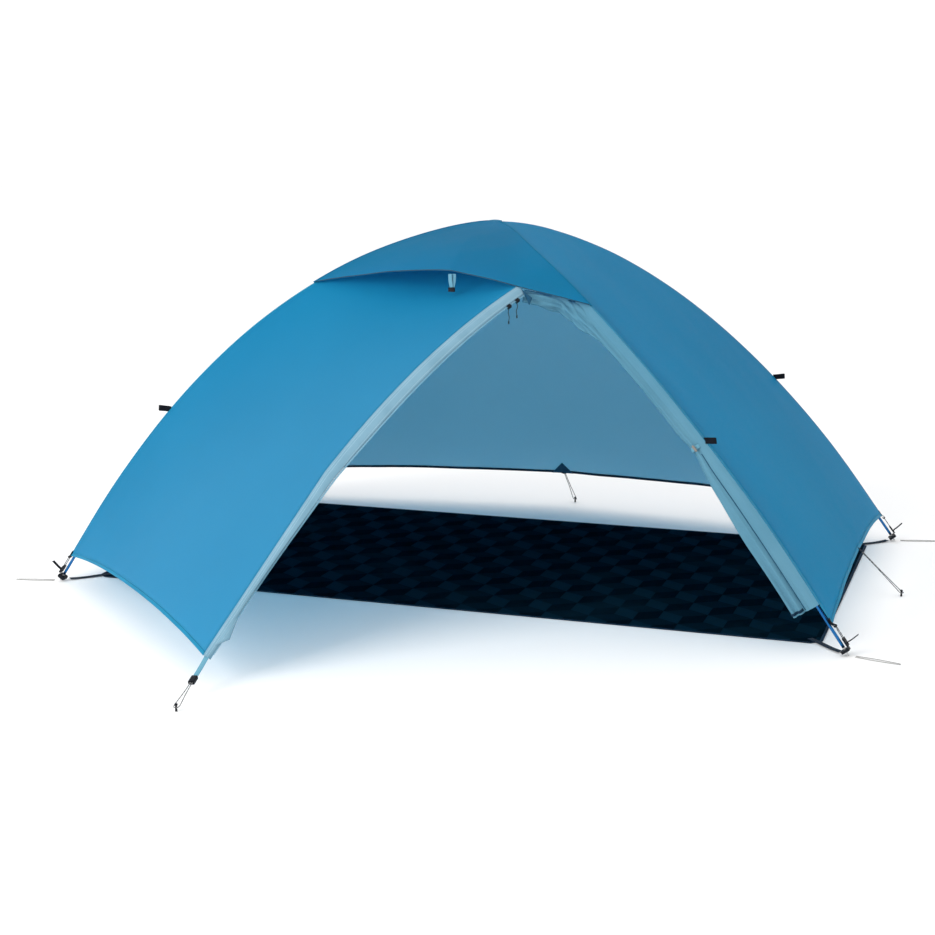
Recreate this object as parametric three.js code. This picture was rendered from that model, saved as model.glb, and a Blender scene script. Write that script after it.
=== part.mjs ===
// A free-standing two-person dome tent, pitched as a flysheet over its ground sheet, with the door rolled aside.
// Two long bent poles cross over the middle. Each pole foot stands in a corner foot on a webbing strap of the
// ground sheet, and the flysheet is tensioned to it by a cord and a buckle. Millimetres, +Z up, +X to the right
// of somebody who looks in at the door, +Y away from them.
import * as THREE from 'three';

// Poles
const POLE_SPAN = 2420;
const POLE_DEPTH = 1330;
const APEX_HEIGHT = 1080;
const ARCH_POWER = 1.73;
const FRONT_BOW = 3.2;
const BACK_BOW = 1.4;
const POLE_RADIUS = 4.25;
const POLE_BORE = 3.2;
const POLE_STEPS = 40;
const CROSSING_DROP = 2 * POLE_RADIUS + 0.5;
const SHOCK_CORD_RADIUS = 1.25;

// Corner hardware, as distances up the leg from the ground
const PIN_RADIUS = 2.5;
const PIN_START = 1.6;
const FOOT_START = 14;
const FOOT = { width: 30, height: 24, round: 6, thickness: 7, pinGap: 0.6 };
const TIP_COLLAR = 3;
const POLE_START = 27;
const BUCKLE_START = 25;
const BUCKLE = { width: 20, length: 26, thickness: 5, round: 3, slot: 13, opening: 4, slotOffset: 6 };
const BUCKLE_STANDOFF = 13;
const CORNER_CORD_SPREAD = 6;
const CORNER_CORD_BEND = 5;
const CORNER_CORD_END = 7;
const FLY_CORNER_REACH = 0.955;

// Flysheet
const FABRIC = 1.5;
const RIDGE_LIFT = 12;
const BROW_LIFT = 16;
const SEAM_INSET = 3;
const CROWN_REACH = 0.02;
const BACK_HEM = { out: 150, up: 45, power: 4 };
const END_HEM = { out: -4, up: 45, power: 2.5 };
const VESTIBULE_HEM = { up: 42, power: 2.2 };
const VENT_SAG = 36;
const SPAN_ROWS = 12;
const VESTIBULE_ROWS = 14;
const BROW_ROWS = 8;
const VESTIBULE_TIP = new THREE.Vector3(-309, -1422, 80);
const ZIP_BEND = new THREE.Vector3(-110, -1095, 500);
const ZIP_SHOULDER = new THREE.Vector3(68, -846, 800);
const ZIP_TOP = new THREE.Vector3(240, -538, 943);
const VESTIBULE_TOP_REACH = 0.22;
const BROW_LEFT_REACH = 0.33;
const BROW_RIGHT_REACH = 0.37;
const BROW_PEAK = new THREE.Vector3(50, -548, 984);
const BROW_POWER = 1.6;
const CROWN_PATCH = { radius: 42, thickness: 2 };

// Zip, with distances across the door from the vestibule's edge and shares of the zip's length
const FLAP_WIDTH = 38;
const FLAP_GAP = 0.5;
const COIL_RADIUS = 1.6;
const COIL_OFFSET = FLAP_WIDTH + COIL_RADIUS + 1;
const COIL_TOP = 0.01;
const ZIP_STEPS = 22;
const SLIDER_SHARES = { upper: 0.03, lower: 0.055 };
const SLIDER_TRAVEL = 120;
const SLIDER = { length: 13, back: 4, front: 5, wall: 1.5, web: 1.8, clearance: 1.2 };
const PULL = { width: 5, thickness: 2.6, length: 42, standoff: 6.5, drop: 2.5 };

// The strut under the brow, and its plastic end
const STRUT = { width: 18, thickness: 4, length: 38, drop: 9 };
const STRUT_END = { width: 20, thickness: 6, length: 12, round: 2 };

// The rolled door, as reaches down the right-hand front leg
const ROLL_TOP_REACH = 0.34;
const ROLL_TIE_REACH = 0.66;
const ROLL_HEM_REACH = 0.925;
const ROLL_RADIUS = 19;
const ROLL_STEPS = 18;
const ROLL_SIDES = 12;
const ROLL_CLEARANCE = 5;
const FAN = { wide: 25, thick: 9, runOut: 0.1 };
const TIE_RADIUS = 12;
const TIE = { bore: TIE_RADIUS + 3.1, radius: TIE_RADIUS + 4.4, width: 12, sides: 14 };
const PINCH_REACH = 0.03;
const TOGGLE = { radius: 6.5, flat: 0.62, long: 1.7, standoff: 10 };

// Ground sheet
const SHEET_WIDTH = 2250;
const SHEET_DEPTH = 1170;
const SHEET_CORNER_CUT = 26;
const STRAP_WIDTH = 20;
const STRAP_THICKNESS = 1.4;
const STRAP_OVERLAP = 30;
const STRAP_HEIGHT = 3.3;
const STRAP_FOOT_HEIGHT = 4.5;
const STRAP_FOOT_GAP = 24;

// Webbing loops on the ridges, where a storm guy would be tied
const GUYOUT_REACH = 0.66;
const GUYOUT = { length: 34, height: 7, round: 3, width: 12, slot: 27, opening: 2.6 };

// Cords and pegs
const GUY_RADIUS = 1.25;
const ELASTIC_RADIUS = 1.1;
const ELASTIC_START = 18;
const ELASTIC_LENGTH = 120;
const ELASTIC_SPREAD = 7;
const CORD_SIDES = 8;
const PEG_HEIGHT = 20;
const PEG_RADIUS = 4;
const CORD_SEAT = 11;
const WRAP_GAP = 1.5;
const STRAND_SPREAD = 3.2;
const GAP = 0.4;
const PEGS = {
  vestibule: new THREE.Vector3(-283, -1615, 0),
  right: new THREE.Vector3(1290, -30, 0),
  back: new THREE.Vector3(20, 905, 0),
  left: new THREE.Vector3(-1290, -30, 0),
};
const TIE_OUTS = {
  vestibule: new THREE.Vector3(-301, -1478, 45),
  right: new THREE.Vector3(1166, 0, 121),
  back: new THREE.Vector3(0, 833, 122),
  left: new THREE.Vector3(-1166, 0, 121),
};
const VESTIBULE_STRAP_WIDTH = 14;
const LOCK = { width: 17, height: 11, round: 3, boreWidth: 10, boreHeight: 5, length: 26, start: 8 };

const UP = new THREE.Vector3(0, 0, 1);
const LEGS = {
  front_left: { x: -1, y: -1 },
  front_right: { x: 1, y: -1 },
  back_right: { x: 1, y: 1 },
  back_left: { x: -1, y: 1 },
};

const COLOURS = {
  fly: { color: 0x2a7fae, roughness: 0.62, metalness: 0 },
  trim: { color: 0x86b6cc, roughness: 0.65, metalness: 0 },
  pole: { color: 0x1d5f9e, roughness: 0.3, metalness: 0.85 },
  tip: { color: 0xb9bcc0, roughness: 0.35, metalness: 0.9 },
  plastic: { color: 0x15171a, roughness: 0.5, metalness: 0 },
  toggle: { color: 0x8d9296, roughness: 0.45, metalness: 0 },
  webbing: { color: 0x12304f, roughness: 0.85, metalness: 0 },
  cord: { color: 0xa9adb0, roughness: 0.8, metalness: 0 },
  elastic: { color: 0xdfe1e2, roughness: 0.8, metalness: 0 },
  sheet: { color: 0x08131d, roughness: 0.55, metalness: 0 },
};

const tent = new THREE.Group();

function addMesh(name, geometry, colour) {
  const mesh = new THREE.Mesh(geometry, new THREE.MeshStandardMaterial(COLOURS[colour]));
  mesh.name = name;
  tent.add(mesh);
}

function mix(from, to, share) {
  return new THREE.Vector3().lerpVectors(from, to, share);
}

function moved(point, direction, distance) {
  return point.clone().addScaledVector(direction, distance);
}

// Turns local x, y, z into the three given directions and puts the local origin at a point.
function placed(geometry, origin, xAxis, yAxis, zAxis) {
  const matrix = new THREE.Matrix4().makeBasis(xAxis, yAxis, zAxis);
  matrix.setPosition(origin);
  geometry.applyMatrix4(matrix);
  return geometry;
}

function roundedShape(width, height, radius) {
  const x = width / 2;
  const y = height / 2;
  const shape = new THREE.Shape();
  shape.moveTo(x, y - radius);
  shape.absarc(x - radius, y - radius, radius, 0, Math.PI / 2);
  shape.absarc(-x + radius, y - radius, radius, Math.PI / 2, Math.PI);
  shape.absarc(-x + radius, -y + radius, radius, Math.PI, 1.5 * Math.PI);
  shape.absarc(x - radius, -y + radius, radius, 1.5 * Math.PI, 2 * Math.PI);
  return shape;
}

function windowPath(width, height, centreX, centreY) {
  const path = new THREE.Path();
  path.moveTo(centreX - width / 2, centreY - height / 2);
  path.lineTo(centreX + width / 2, centreY - height / 2);
  path.lineTo(centreX + width / 2, centreY + height / 2);
  path.lineTo(centreX - width / 2, centreY + height / 2);
  path.closePath();
  return path;
}

function slab(shape, depth) {
  return new THREE.ExtrudeGeometry(shape, { depth, bevelEnabled: false, curveSegments: 3 });
}

function circleShape(radius, sides) {
  const points = [];
  for (let side = 0; side < sides; side += 1) {
    const angle = 2 * Math.PI * side / sides;
    points.push(new THREE.Vector2(radius * Math.cos(angle), radius * Math.sin(angle)));
  }
  return new THREE.Shape(points);
}

function tube(curve, steps, radius, sides, bore = 0) {
  const shape = circleShape(radius, sides);
  if (bore > 0) {
    shape.holes.push(new THREE.Path(circleShape(bore, sides).getPoints()));
  }
  return new THREE.ExtrudeGeometry(shape, { steps, extrudePath: curve, bevelEnabled: false });
}

// A closed thin sheet from rows of points, top to bottom, each running left to right as seen from outside.
function thickSheet(rows, thickness) {
  const last = rows.length - 1;
  const lastColumn = rows[0].length - 1;
  const outer = [];
  const inner = [];
  rows.forEach((row, i) => row.forEach((point, j) => {
    const down = rows[Math.min(i + 1, last)][j].clone().sub(rows[Math.max(i - 1, 0)][j]);
    const across = row[Math.min(j + 1, lastColumn)].clone().sub(row[Math.max(j - 1, 0)]);
    const normal = down.cross(across).normalize();
    outer.push(point);
    inner.push(moved(point, normal, -thickness));
  }));
  const points = [...outer, ...inner];
  const columns = lastColumn + 1;
  const index = [];
  const face = (a, b, c, d) => index.push(a, b, c, a, c, d);
  const at = (i, j) => i * columns + j;
  for (let i = 0; i < last; i += 1) {
    for (let j = 0; j < lastColumn; j += 1) {
      const corners = [at(i, j), at(i + 1, j), at(i + 1, j + 1), at(i, j + 1)];
      face(...corners);
      face(...corners.reverse().map((corner) => corner + outer.length));
    }
  }
  const rim = [];
  for (let j = 0; j < lastColumn; j += 1) rim.push(at(0, j));
  for (let i = 0; i < last; i += 1) rim.push(at(i, lastColumn));
  for (let j = lastColumn; j > 0; j -= 1) rim.push(at(last, j));
  for (let i = last; i > 0; i -= 1) rim.push(at(i, 0));
  rim.forEach((corner, k) => {
    const next = rim[(k + 1) % rim.length];
    face(corner, next, next + outer.length, corner + outer.length);
  });
  const geometry = new THREE.BufferGeometry();
  const flat = points.flatMap((point) => point.toArray());
  geometry.setAttribute('position', new THREE.Float32BufferAttribute(flat, 3));
  geometry.setIndex(index);
  return geometry;
}

// A closed solid through rings of points, each ring anticlockwise as seen from the far end.
function loft(rings) {
  const count = rings[0].length;
  const points = rings.flat();
  const centres = [rings[0], rings[rings.length - 1]].map((ring) => {
    const sum = ring.reduce((total, point) => total.add(point), new THREE.Vector3());
    return sum.divideScalar(count);
  });
  points.push(...centres);
  const startCentre = points.length - 2;
  const endCentre = points.length - 1;
  const index = [];
  for (let side = 0; side < count; side += 1) {
    const next = (side + 1) % count;
    for (let k = 0; k < rings.length - 1; k += 1) {
      const a = k * count + side;
      const b = k * count + next;
      index.push(a, b, b + count, a, b + count, a + count);
    }
    const base = (rings.length - 1) * count;
    index.push(startCentre, next, side);
    index.push(endCentre, base + side, base + next);
  }
  const geometry = new THREE.BufferGeometry();
  const flat = points.flatMap((point) => point.toArray());
  geometry.setAttribute('position', new THREE.Float32BufferAttribute(flat, 3));
  geometry.setIndex(index);
  return geometry;
}

// The poles. Reach is 0 over the crossing and 1 at a foot.
function legPoint(leg, reach, height) {
  const bow = leg.y < 0 ? FRONT_BOW : BACK_BOW;
  const x = leg.x * POLE_SPAN / 2 * reach;
  const y = leg.y * POLE_DEPTH / 2 * (1 - (1 - reach) ** bow);
  return new THREE.Vector3(x, y, height * (1 - reach ** ARCH_POWER));
}

function poleCurve(front, back, height) {
  const knots = [1, 0.8, 0.6, 0.4, 0.2];
  const points = knots.map((reach) => legPoint(front, reach, height));
  points.push(new THREE.Vector3(0, 0, height));
  points.push(...knots.reverse().map((reach) => legPoint(back, reach, height)));
  return new THREE.CatmullRomCurve3(points, false, 'catmullrom');
}

const poleCurves = {
  left: poleCurve(LEGS.front_left, LEGS.back_right, APEX_HEIGHT),
  right: poleCurve(LEGS.front_right, LEGS.back_left, APEX_HEIGHT - CROSSING_DROP),
};

function curveOfLeg(leg) {
  return leg.x * leg.y > 0 ? poleCurves.left : poleCurves.right;
}

function onPole(leg, reach) {
  return curveOfLeg(leg).getPoint((1 + leg.y * reach) / 2);
}

function alongLeg(leg, reach) {
  return curveOfLeg(leg).getTangent((1 + leg.y * reach) / 2).multiplyScalar(-leg.y);
}

// A point of the flysheet's ridge, above the pole by a lift, at right angles to it.
function ridge(leg, reach, lift) {
  const point = onPole(leg, reach);
  const tangent = alongLeg(leg, reach);
  const outward = point.clone();
  outward.addScaledVector(tangent, -outward.dot(tangent)).normalize();
  const crossing = leg.x * leg.y > 0 ? 0 : CROSSING_DROP * (1 - reach) ** 2;
  return moved(point, outward, lift + crossing);
}

function buildPoles() {
  for (const [side, curve] of Object.entries(poleCurves)) {
    const start = curve.getUtoTmapping(POLE_START / curve.getLength());
    const points = [];
    for (let k = 0; k <= POLE_STEPS; k += 1) {
      points.push(curve.getPoint(start + (1 - 2 * start) * k / POLE_STEPS));
    }
    const path = new THREE.CatmullRomCurve3(points);
    addMesh(`pole_${side}`, tube(path, POLE_STEPS, POLE_RADIUS, CORD_SIDES, POLE_BORE), 'pole');
    addMesh(`shock_cord_${side}`, tube(path, POLE_STEPS, SHOCK_CORD_RADIUS, 6), 'elastic');
  }
}

// The flysheet's panels
function panelRows(leftEdge, rightEdge, offset, rowCount, columnCount) {
  const rows = [];
  for (let i = 0; i <= rowCount; i += 1) {
    const down = i / rowCount;
    const left = leftEdge(down);
    const right = rightEdge(down);
    const inset = SEAM_INSET / left.distanceTo(right);
    const row = [];
    for (let j = 0; j <= columnCount; j += 1) {
      const across = j / columnCount;
      const point = mix(left, right, inset + (1 - 2 * inset) * across);
      row.push(point.add(offset(across, down)));
    }
    rows.push(row);
  }
  return rows;
}

// How far a hem is raised at a place across it: nothing at its ends and all of it along the middle.
function archShare(across, power) {
  return 1 - Math.abs(2 * across - 1) ** power;
}

function edgeOn(leg, top, bottom, lift) {
  return (down) => ridge(leg, top + (bottom - top) * down, lift);
}

function spannedPanel(leftLeg, rightLeg, outward, hem, columnCount) {
  const offset = (across, down) => new THREE.Vector3()
    .addScaledVector(outward, hem.out * archShare(across, 1) * down ** 2)
    .addScaledVector(UP, hem.up * archShare(across, hem.power) * down ** 2);
  const left = edgeOn(leftLeg, CROWN_REACH, FLY_CORNER_REACH, RIDGE_LIFT);
  const right = edgeOn(rightLeg, CROWN_REACH, FLY_CORNER_REACH, RIDGE_LIFT);
  return thickSheet(panelRows(left, right, offset, SPAN_ROWS, columnCount), FABRIC);
}

const zipLine = new THREE.CurvePath();
zipLine.add(new THREE.QuadraticBezierCurve3(ZIP_TOP, ZIP_SHOULDER, ZIP_BEND));
zipLine.add(new THREE.LineCurve3(ZIP_BEND, VESTIBULE_TIP));

// The direction across the door from the zip towards the right leg, at right angles to the zip.
function acrossDoor(share) {
  const point = zipLine.getPointAt(share);
  const tangent = zipLine.getTangentAt(share);
  const across = ridge(LEGS.front_right, 0.4 + 0.5 * share, RIDGE_LIFT).sub(point);
  return across.addScaledVector(tangent, -across.dot(tangent)).normalize();
}

function besideZip(share, distance) {
  return moved(zipLine.getPointAt(share), acrossDoor(share), distance);
}

function buildVestibule() {
  const left = edgeOn(LEGS.front_left, VESTIBULE_TOP_REACH, FLY_CORNER_REACH, RIDGE_LIFT);
  const right = (down) => zipLine.getPointAt(down);
  const offset = (across, down) => {
    const hem = VESTIBULE_HEM.up * archShare(across, VESTIBULE_HEM.power) * down ** 2;
    const sag = VENT_SAG * archShare(across, 2) * (1 - down) ** 3;
    return new THREE.Vector3(0, 0, hem - sag);
  };
  const rows = panelRows(left, right, offset, VESTIBULE_ROWS, 10);
  addMesh('fly_vestibule_panel', thickSheet(rows, FABRIC), 'fly');

  const flapRows = [];
  for (let i = 0; i <= ZIP_STEPS; i += 1) {
    flapRows.push([FLAP_GAP, FLAP_WIDTH].map((distance) => besideZip(i / ZIP_STEPS, distance)));
  }
  addMesh('zip_flap', thickSheet(flapRows, FABRIC), 'trim');
}

function buildBrow() {
  const left = edgeOn(LEGS.front_left, CROWN_REACH, BROW_LEFT_REACH, BROW_LIFT);
  const right = edgeOn(LEGS.front_right, CROWN_REACH, BROW_RIGHT_REACH, BROW_LIFT);
  const rise = BROW_PEAK.clone().sub(mix(left(1), right(1), 0.5));
  const offset = (across, down) => rise.clone().multiplyScalar(archShare(across, BROW_POWER) * down ** 2);
  addMesh('fly_brow', thickSheet(panelRows(left, right, offset, BROW_ROWS, 12), FABRIC), 'fly');
}

function buildFly() {
  const sideways = new THREE.Vector3(1, 0, 0);
  const backwards = new THREE.Vector3(0, 1, 0);
  const { front_left: frontLeft, front_right: frontRight, back_left: backLeft, back_right: backRight } = LEGS;
  addMesh('fly_back_panel', spannedPanel(backRight, backLeft, backwards, BACK_HEM, 12), 'fly');
  addMesh('fly_right_end_panel', spannedPanel(frontRight, backRight, sideways, END_HEM, 8), 'fly');
  const leftwards = sideways.clone().negate();
  addMesh('fly_left_end_panel', spannedPanel(backLeft, frontLeft, leftwards, END_HEM, 8), 'fly');
  buildVestibule();
  buildBrow();
  const patch = slab(circleShape(CROWN_PATCH.radius, 12), CROWN_PATCH.thickness);
  patch.translate(0, 0, APEX_HEIGHT + BROW_LIFT + 1);
  addMesh('fly_crown_patch', patch, 'trim');
}

// The zip's coil runs along the flap's free edge, with two sliders on it that carry their pulls.
function sliderFrame(share) {
  const along = besideZip(share + SLIDER_TRAVEL / zipLine.getLength(), COIL_OFFSET);
  const origin = besideZip(share, COIL_OFFSET);
  along.sub(origin).normalize();
  const across = acrossDoor(share);
  across.addScaledVector(along, -across.dot(along)).normalize();
  return { origin, along, across, outward: along.clone().cross(across) };
}

function sliderShape() {
  const shape = new THREE.Shape();
  const { back, front, wall, web, clearance } = SLIDER;
  const slot = COIL_RADIUS + clearance;
  const half = slot + wall;
  shape.moveTo(-back, -half);
  shape.lineTo(front, -half);
  shape.lineTo(front, half);
  shape.lineTo(-back, half);
  shape.lineTo(-back, slot);
  shape.lineTo(front - web, slot);
  shape.lineTo(front - web, -slot);
  shape.lineTo(-back, -slot);
  shape.closePath();
  return shape;
}

function buildZip() {
  const points = [];
  for (let k = 0; k <= ZIP_STEPS; k += 1) {
    points.push(besideZip(COIL_TOP + (1 - 2 * COIL_TOP) * k / ZIP_STEPS, COIL_OFFSET));
  }
  addMesh('zip_coil', tube(new THREE.CatmullRomCurve3(points), ZIP_STEPS, COIL_RADIUS, 6), 'plastic');

  for (const [level, share] of Object.entries(SLIDER_SHARES)) {
    const { origin, along, across, outward } = sliderFrame(share);
    const body = slab(sliderShape(), SLIDER.length);
    body.translate(0, 0, -SLIDER.length / 2);
    const face = outward.clone().negate();
    addMesh(`zip_slider_${level}`, placed(body, origin, across, face, along.clone().negate()), 'plastic');

    const pull = new THREE.BoxGeometry(PULL.width, PULL.thickness, PULL.length);
    const hook = moved(moved(origin, face, PULL.standoff), UP, -PULL.drop - PULL.length / 2);
    pull.translate(...hook.toArray());
    addMesh(`zip_pull_${level}`, pull, 'plastic');
  }
}

// The strut that props the brow open: a webbing sleeve with a plastic end, hinged under the brow's edge.
function buildStrut() {
  const top = moved(BROW_PEAK, new THREE.Vector3(0, 0.4, -1), STRUT.drop);
  const sleeve = new THREE.BoxGeometry(STRUT.width, STRUT.thickness, STRUT.length);
  sleeve.translate(top.x, top.y, top.z - STRUT.length / 2);
  addMesh('vent_strut', sleeve, 'trim');
  const end = slab(roundedShape(STRUT_END.width, STRUT_END.thickness, STRUT_END.round), STRUT_END.length);
  end.translate(top.x, top.y, top.z - STRUT.length - GAP - STRUT_END.length);
  addMesh('vent_strut_end', end, 'plastic');
}

// The door panel, rolled along the right-hand front leg, tied, and fanning out below the tie.
function rollHalfSize(reach) {
  const fan = THREE.MathUtils.smoothstep(reach, ROLL_TIE_REACH, ROLL_HEM_REACH - FAN.runOut);
  const pinch = (ROLL_RADIUS - TIE_RADIUS) * Math.exp(-(((reach - ROLL_TIE_REACH) / PINCH_REACH) ** 2));
  return {
    wide: ROLL_RADIUS - pinch + (FAN.wide - ROLL_RADIUS) * fan,
    thick: ROLL_RADIUS - pinch + (FAN.thick - ROLL_RADIUS) * fan,
  };
}

function rollFrame(reach) {
  const along = alongLeg(LEGS.front_right, reach).negate();
  const facing = new THREE.Vector3(0, -1, 0);
  facing.addScaledVector(along, -facing.dot(along)).normalize();
  return { along, facing, wide: facing.clone().cross(along) };
}

function rollCentre(reach) {
  const inward = POLE_RADIUS + ROLL_CLEARANCE + rollHalfSize(reach).wide;
  return moved(onPole(LEGS.front_right, reach), rollFrame(reach).wide, -inward);
}

function buildDoorRoll() {
  const rings = [];
  for (let k = 0; k <= ROLL_STEPS; k += 1) {
    const reach = ROLL_TOP_REACH + (ROLL_HEM_REACH - ROLL_TOP_REACH) * k / ROLL_STEPS;
    const { facing, wide } = rollFrame(reach);
    const half = rollHalfSize(reach);
    const centre = rollCentre(reach);
    const ring = [];
    for (let side = 0; side < ROLL_SIDES; side += 1) {
      const angle = 2 * Math.PI * side / ROLL_SIDES;
      const point = moved(centre, wide, half.wide * Math.cos(angle));
      ring.push(point.addScaledVector(facing, half.thick * Math.sin(angle)));
    }
    rings.push(ring);
  }
  addMesh('door_roll', loft(rings), 'trim');
}

function buildDoorTie() {
  const { facing, wide } = rollFrame(ROLL_TIE_REACH);
  const centre = rollCentre(ROLL_TIE_REACH);
  const ring = circleShape(TIE.radius, TIE.sides);
  ring.holes.push(new THREE.Path(circleShape(TIE.bore, TIE.sides).getPoints()));
  const band = slab(ring, TIE.width);
  band.translate(0, 0, -TIE.width / 2);
  addMesh('door_tie', placed(band, centre, wide, facing, wide.clone().cross(facing)), 'webbing');

  const toggle = new THREE.SphereGeometry(TOGGLE.radius, 10, 8);
  toggle.scale(1, TOGGLE.flat, TOGGLE.long);
  const seat = moved(centre, facing, TIE_RADIUS + TOGGLE.standoff);
  addMesh('door_toggle', placed(toggle, seat, wide, facing, wide.clone().cross(facing)), 'toggle');
}

// The directions at a leg's foot: up the leg, level across it, and outward at right angles to both.
function footFrame(leg) {
  const up = alongLeg(leg, 1);
  const level = UP.clone().cross(up).normalize();
  return { foot: onPole(leg, 1), up, level, outward: up.clone().cross(level) };
}

function footShape() {
  const shape = roundedShape(FOOT.width, FOOT.height, FOOT.round);
  shape.holes.push(new THREE.Path(circleShape(PIN_RADIUS + FOOT.pinGap, 10).getPoints()));
  return shape;
}

function tipProfile() {
  const top = POLE_START - GAP;
  return [
    [0, PIN_START],
    [PIN_RADIUS - 1, PIN_START],
    [PIN_RADIUS, PIN_START + 2],
    [PIN_RADIUS, top - TIP_COLLAR],
    [POLE_RADIUS, top - TIP_COLLAR],
    [POLE_RADIUS, top],
    [0, top],
  ].map(([x, y]) => new THREE.Vector2(x, y));
}

function buckleShape() {
  const { width, length, round, slot, opening, slotOffset } = BUCKLE;
  const shape = roundedShape(width, length, round);
  for (const centre of [slotOffset, -slotOffset]) {
    shape.holes.push(windowPath(slot, opening, 0, centre));
  }
  return shape;
}

// The cord loop that joins a buckle to the flysheet's corner.
function cornerCordPath(leg) {
  const { foot, up, level, outward } = footFrame(leg);
  const start = BUCKLE_START + BUCKLE.length + ELASTIC_RADIUS + GAP;
  const end = foot.distanceTo(onPole(leg, FLY_CORNER_REACH)) - CORNER_CORD_END;
  const seat = moved(foot, outward, BUCKLE_STANDOFF);
  const at = (side, distance) => moved(moved(seat, up, distance), level, side);
  const shoulder = CORNER_CORD_SPREAD - 1;
  return new THREE.CatmullRomCurve3([
    at(-CORNER_CORD_SPREAD, start),
    at(-CORNER_CORD_SPREAD, (start + end) / 2),
    at(-shoulder, end - CORNER_CORD_BEND),
    at(0, end),
    at(shoulder, end - CORNER_CORD_BEND),
    at(CORNER_CORD_SPREAD, (start + end) / 2),
    at(CORNER_CORD_SPREAD, start),
  ]);
}

function buildCorner(corner, leg) {
  const { foot, up, level, outward } = footFrame(leg);

  const tip = new THREE.LatheGeometry(tipProfile(), 10);
  addMesh(`pole_tip_${corner}`, placed(tip, foot, level, up, level.clone().cross(up)), 'tip');

  const block = slab(footShape(), FOOT.thickness);
  const seat = moved(foot, up, FOOT_START);
  addMesh(`corner_foot_${corner}`, placed(block, seat, level, outward, up), 'plastic');

  const buckle = slab(buckleShape(), BUCKLE.thickness);
  const middle = moved(foot, up, BUCKLE_START + BUCKLE.length / 2);
  const back = moved(middle, outward, BUCKLE_STANDOFF - BUCKLE.thickness / 2);
  addMesh(`corner_buckle_${corner}`, placed(buckle, back, up.clone().cross(outward), up, outward), 'plastic');

  const cord = tube(cornerCordPath(leg), 14, GUY_RADIUS, CORD_SIDES);
  addMesh(`corner_cord_${corner}`, cord, 'cord');

  buildStrap(corner, leg, seat);
  buildElastic(corner, leg);
  buildGuyoutLoop(corner, leg);
}

// The webbing from the ground sheet's cut corner to the corner foot.
function sheetCorner(leg) {
  const inset = SHEET_CORNER_CUT / 2;
  return new THREE.Vector3(leg.x * (SHEET_WIDTH / 2 - inset), leg.y * (SHEET_DEPTH / 2 - inset), 0);
}

function strip(path, side, width, thickness) {
  const rows = path.map((point) => [moved(point, side, -width / 2), moved(point, side, width / 2)]);
  return thickSheet(rows, thickness);
}

function buildStrap(corner, leg, footCentre) {
  const start = sheetCorner(leg);
  const run = new THREE.Vector3(footCentre.x - start.x, footCentre.y - start.y, 0);
  const reach = run.length();
  run.normalize();
  const side = run.clone().cross(UP);
  const heights = [
    [-STRAP_OVERLAP, STRAP_HEIGHT],
    [12, STRAP_HEIGHT],
    [reach - STRAP_FOOT_GAP, STRAP_FOOT_HEIGHT],
  ];
  const path = heights.map(([distance, height]) => moved(start, run, distance).setZ(height));
  addMesh(`corner_strap_${corner}`, strip(path, side.negate(), STRAP_WIDTH, STRAP_THICKNESS), 'webbing');
}

// A thin elastic peg loop that lies on the ground, outward from the corner foot.
function buildElastic(corner, leg) {
  const { foot } = footFrame(leg);
  const out = new THREE.Vector3(leg.x, leg.y * 0.25, 0).normalize();
  const side = UP.clone().cross(out);
  const rest = ELASTIC_RADIUS + 0.1;
  const at = (distance, sideways) => moved(moved(foot, out, distance), side, sideways).setZ(rest);
  const middle = ELASTIC_START + ELASTIC_LENGTH * 0.45;
  const end = ELASTIC_START + ELASTIC_LENGTH;
  const path = new THREE.CatmullRomCurve3([
    at(ELASTIC_START, 4),
    at(middle, ELASTIC_SPREAD),
    at(end - 4, ELASTIC_SPREAD / 2),
    at(end, 0),
    at(end - 4, -ELASTIC_SPREAD / 2),
    at(middle, -ELASTIC_SPREAD),
    at(ELASTIC_START, -4),
  ]);
  addMesh(`peg_loop_${corner}`, tube(path, 20, ELASTIC_RADIUS, CORD_SIDES), 'elastic');
}

// A folded webbing loop on each ridge, where a storm guy would be tied.
function buildGuyoutLoop(corner, leg) {
  const base = ridge(leg, GUYOUT_REACH, RIDGE_LIFT + 1);
  const out = new THREE.Vector3(leg.x, leg.y * 0.3, 0).normalize();
  const side = UP.clone().cross(out);
  const { length, height, round, width, slot, opening } = GUYOUT;
  const shape = roundedShape(length, height, round);
  shape.holes.push(windowPath(slot, opening, 0, 0));
  const loop = slab(shape, width);
  loop.translate(length / 2, 0, -width / 2);
  addMesh(`guyout_loop_${corner}`, placed(loop, base, out, UP, out.clone().cross(UP)), 'webbing');
}

function buildGroundSheet() {
  const x = SHEET_WIDTH / 2;
  const y = SHEET_DEPTH / 2;
  const cut = SHEET_CORNER_CUT;
  const outline = [[x, -y + cut], [x, y - cut], [x - cut, y], [-x + cut, y], [-x, y - cut], [-x, -y + cut],
    [-x + cut, -y], [x - cut, -y]];
  const shape = new THREE.Shape(outline.map(([px, py]) => new THREE.Vector2(px, py)));
  addMesh('ground_sheet', slab(shape, FABRIC), 'sheet');
}

function pegProfile() {
  const neck = PEG_RADIUS - 1.4;
  return [
    [0, 0],
    [PEG_RADIUS - 1, 0],
    [neck, CORD_SEAT - 3],
    [neck, CORD_SEAT + 3],
    [PEG_RADIUS, CORD_SEAT + 4],
    [PEG_RADIUS, PEG_HEIGHT - 1],
    [PEG_RADIUS - 1, PEG_HEIGHT],
    [0, PEG_HEIGHT],
  ].map(([x, y]) => new THREE.Vector2(x, y));
}

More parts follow.
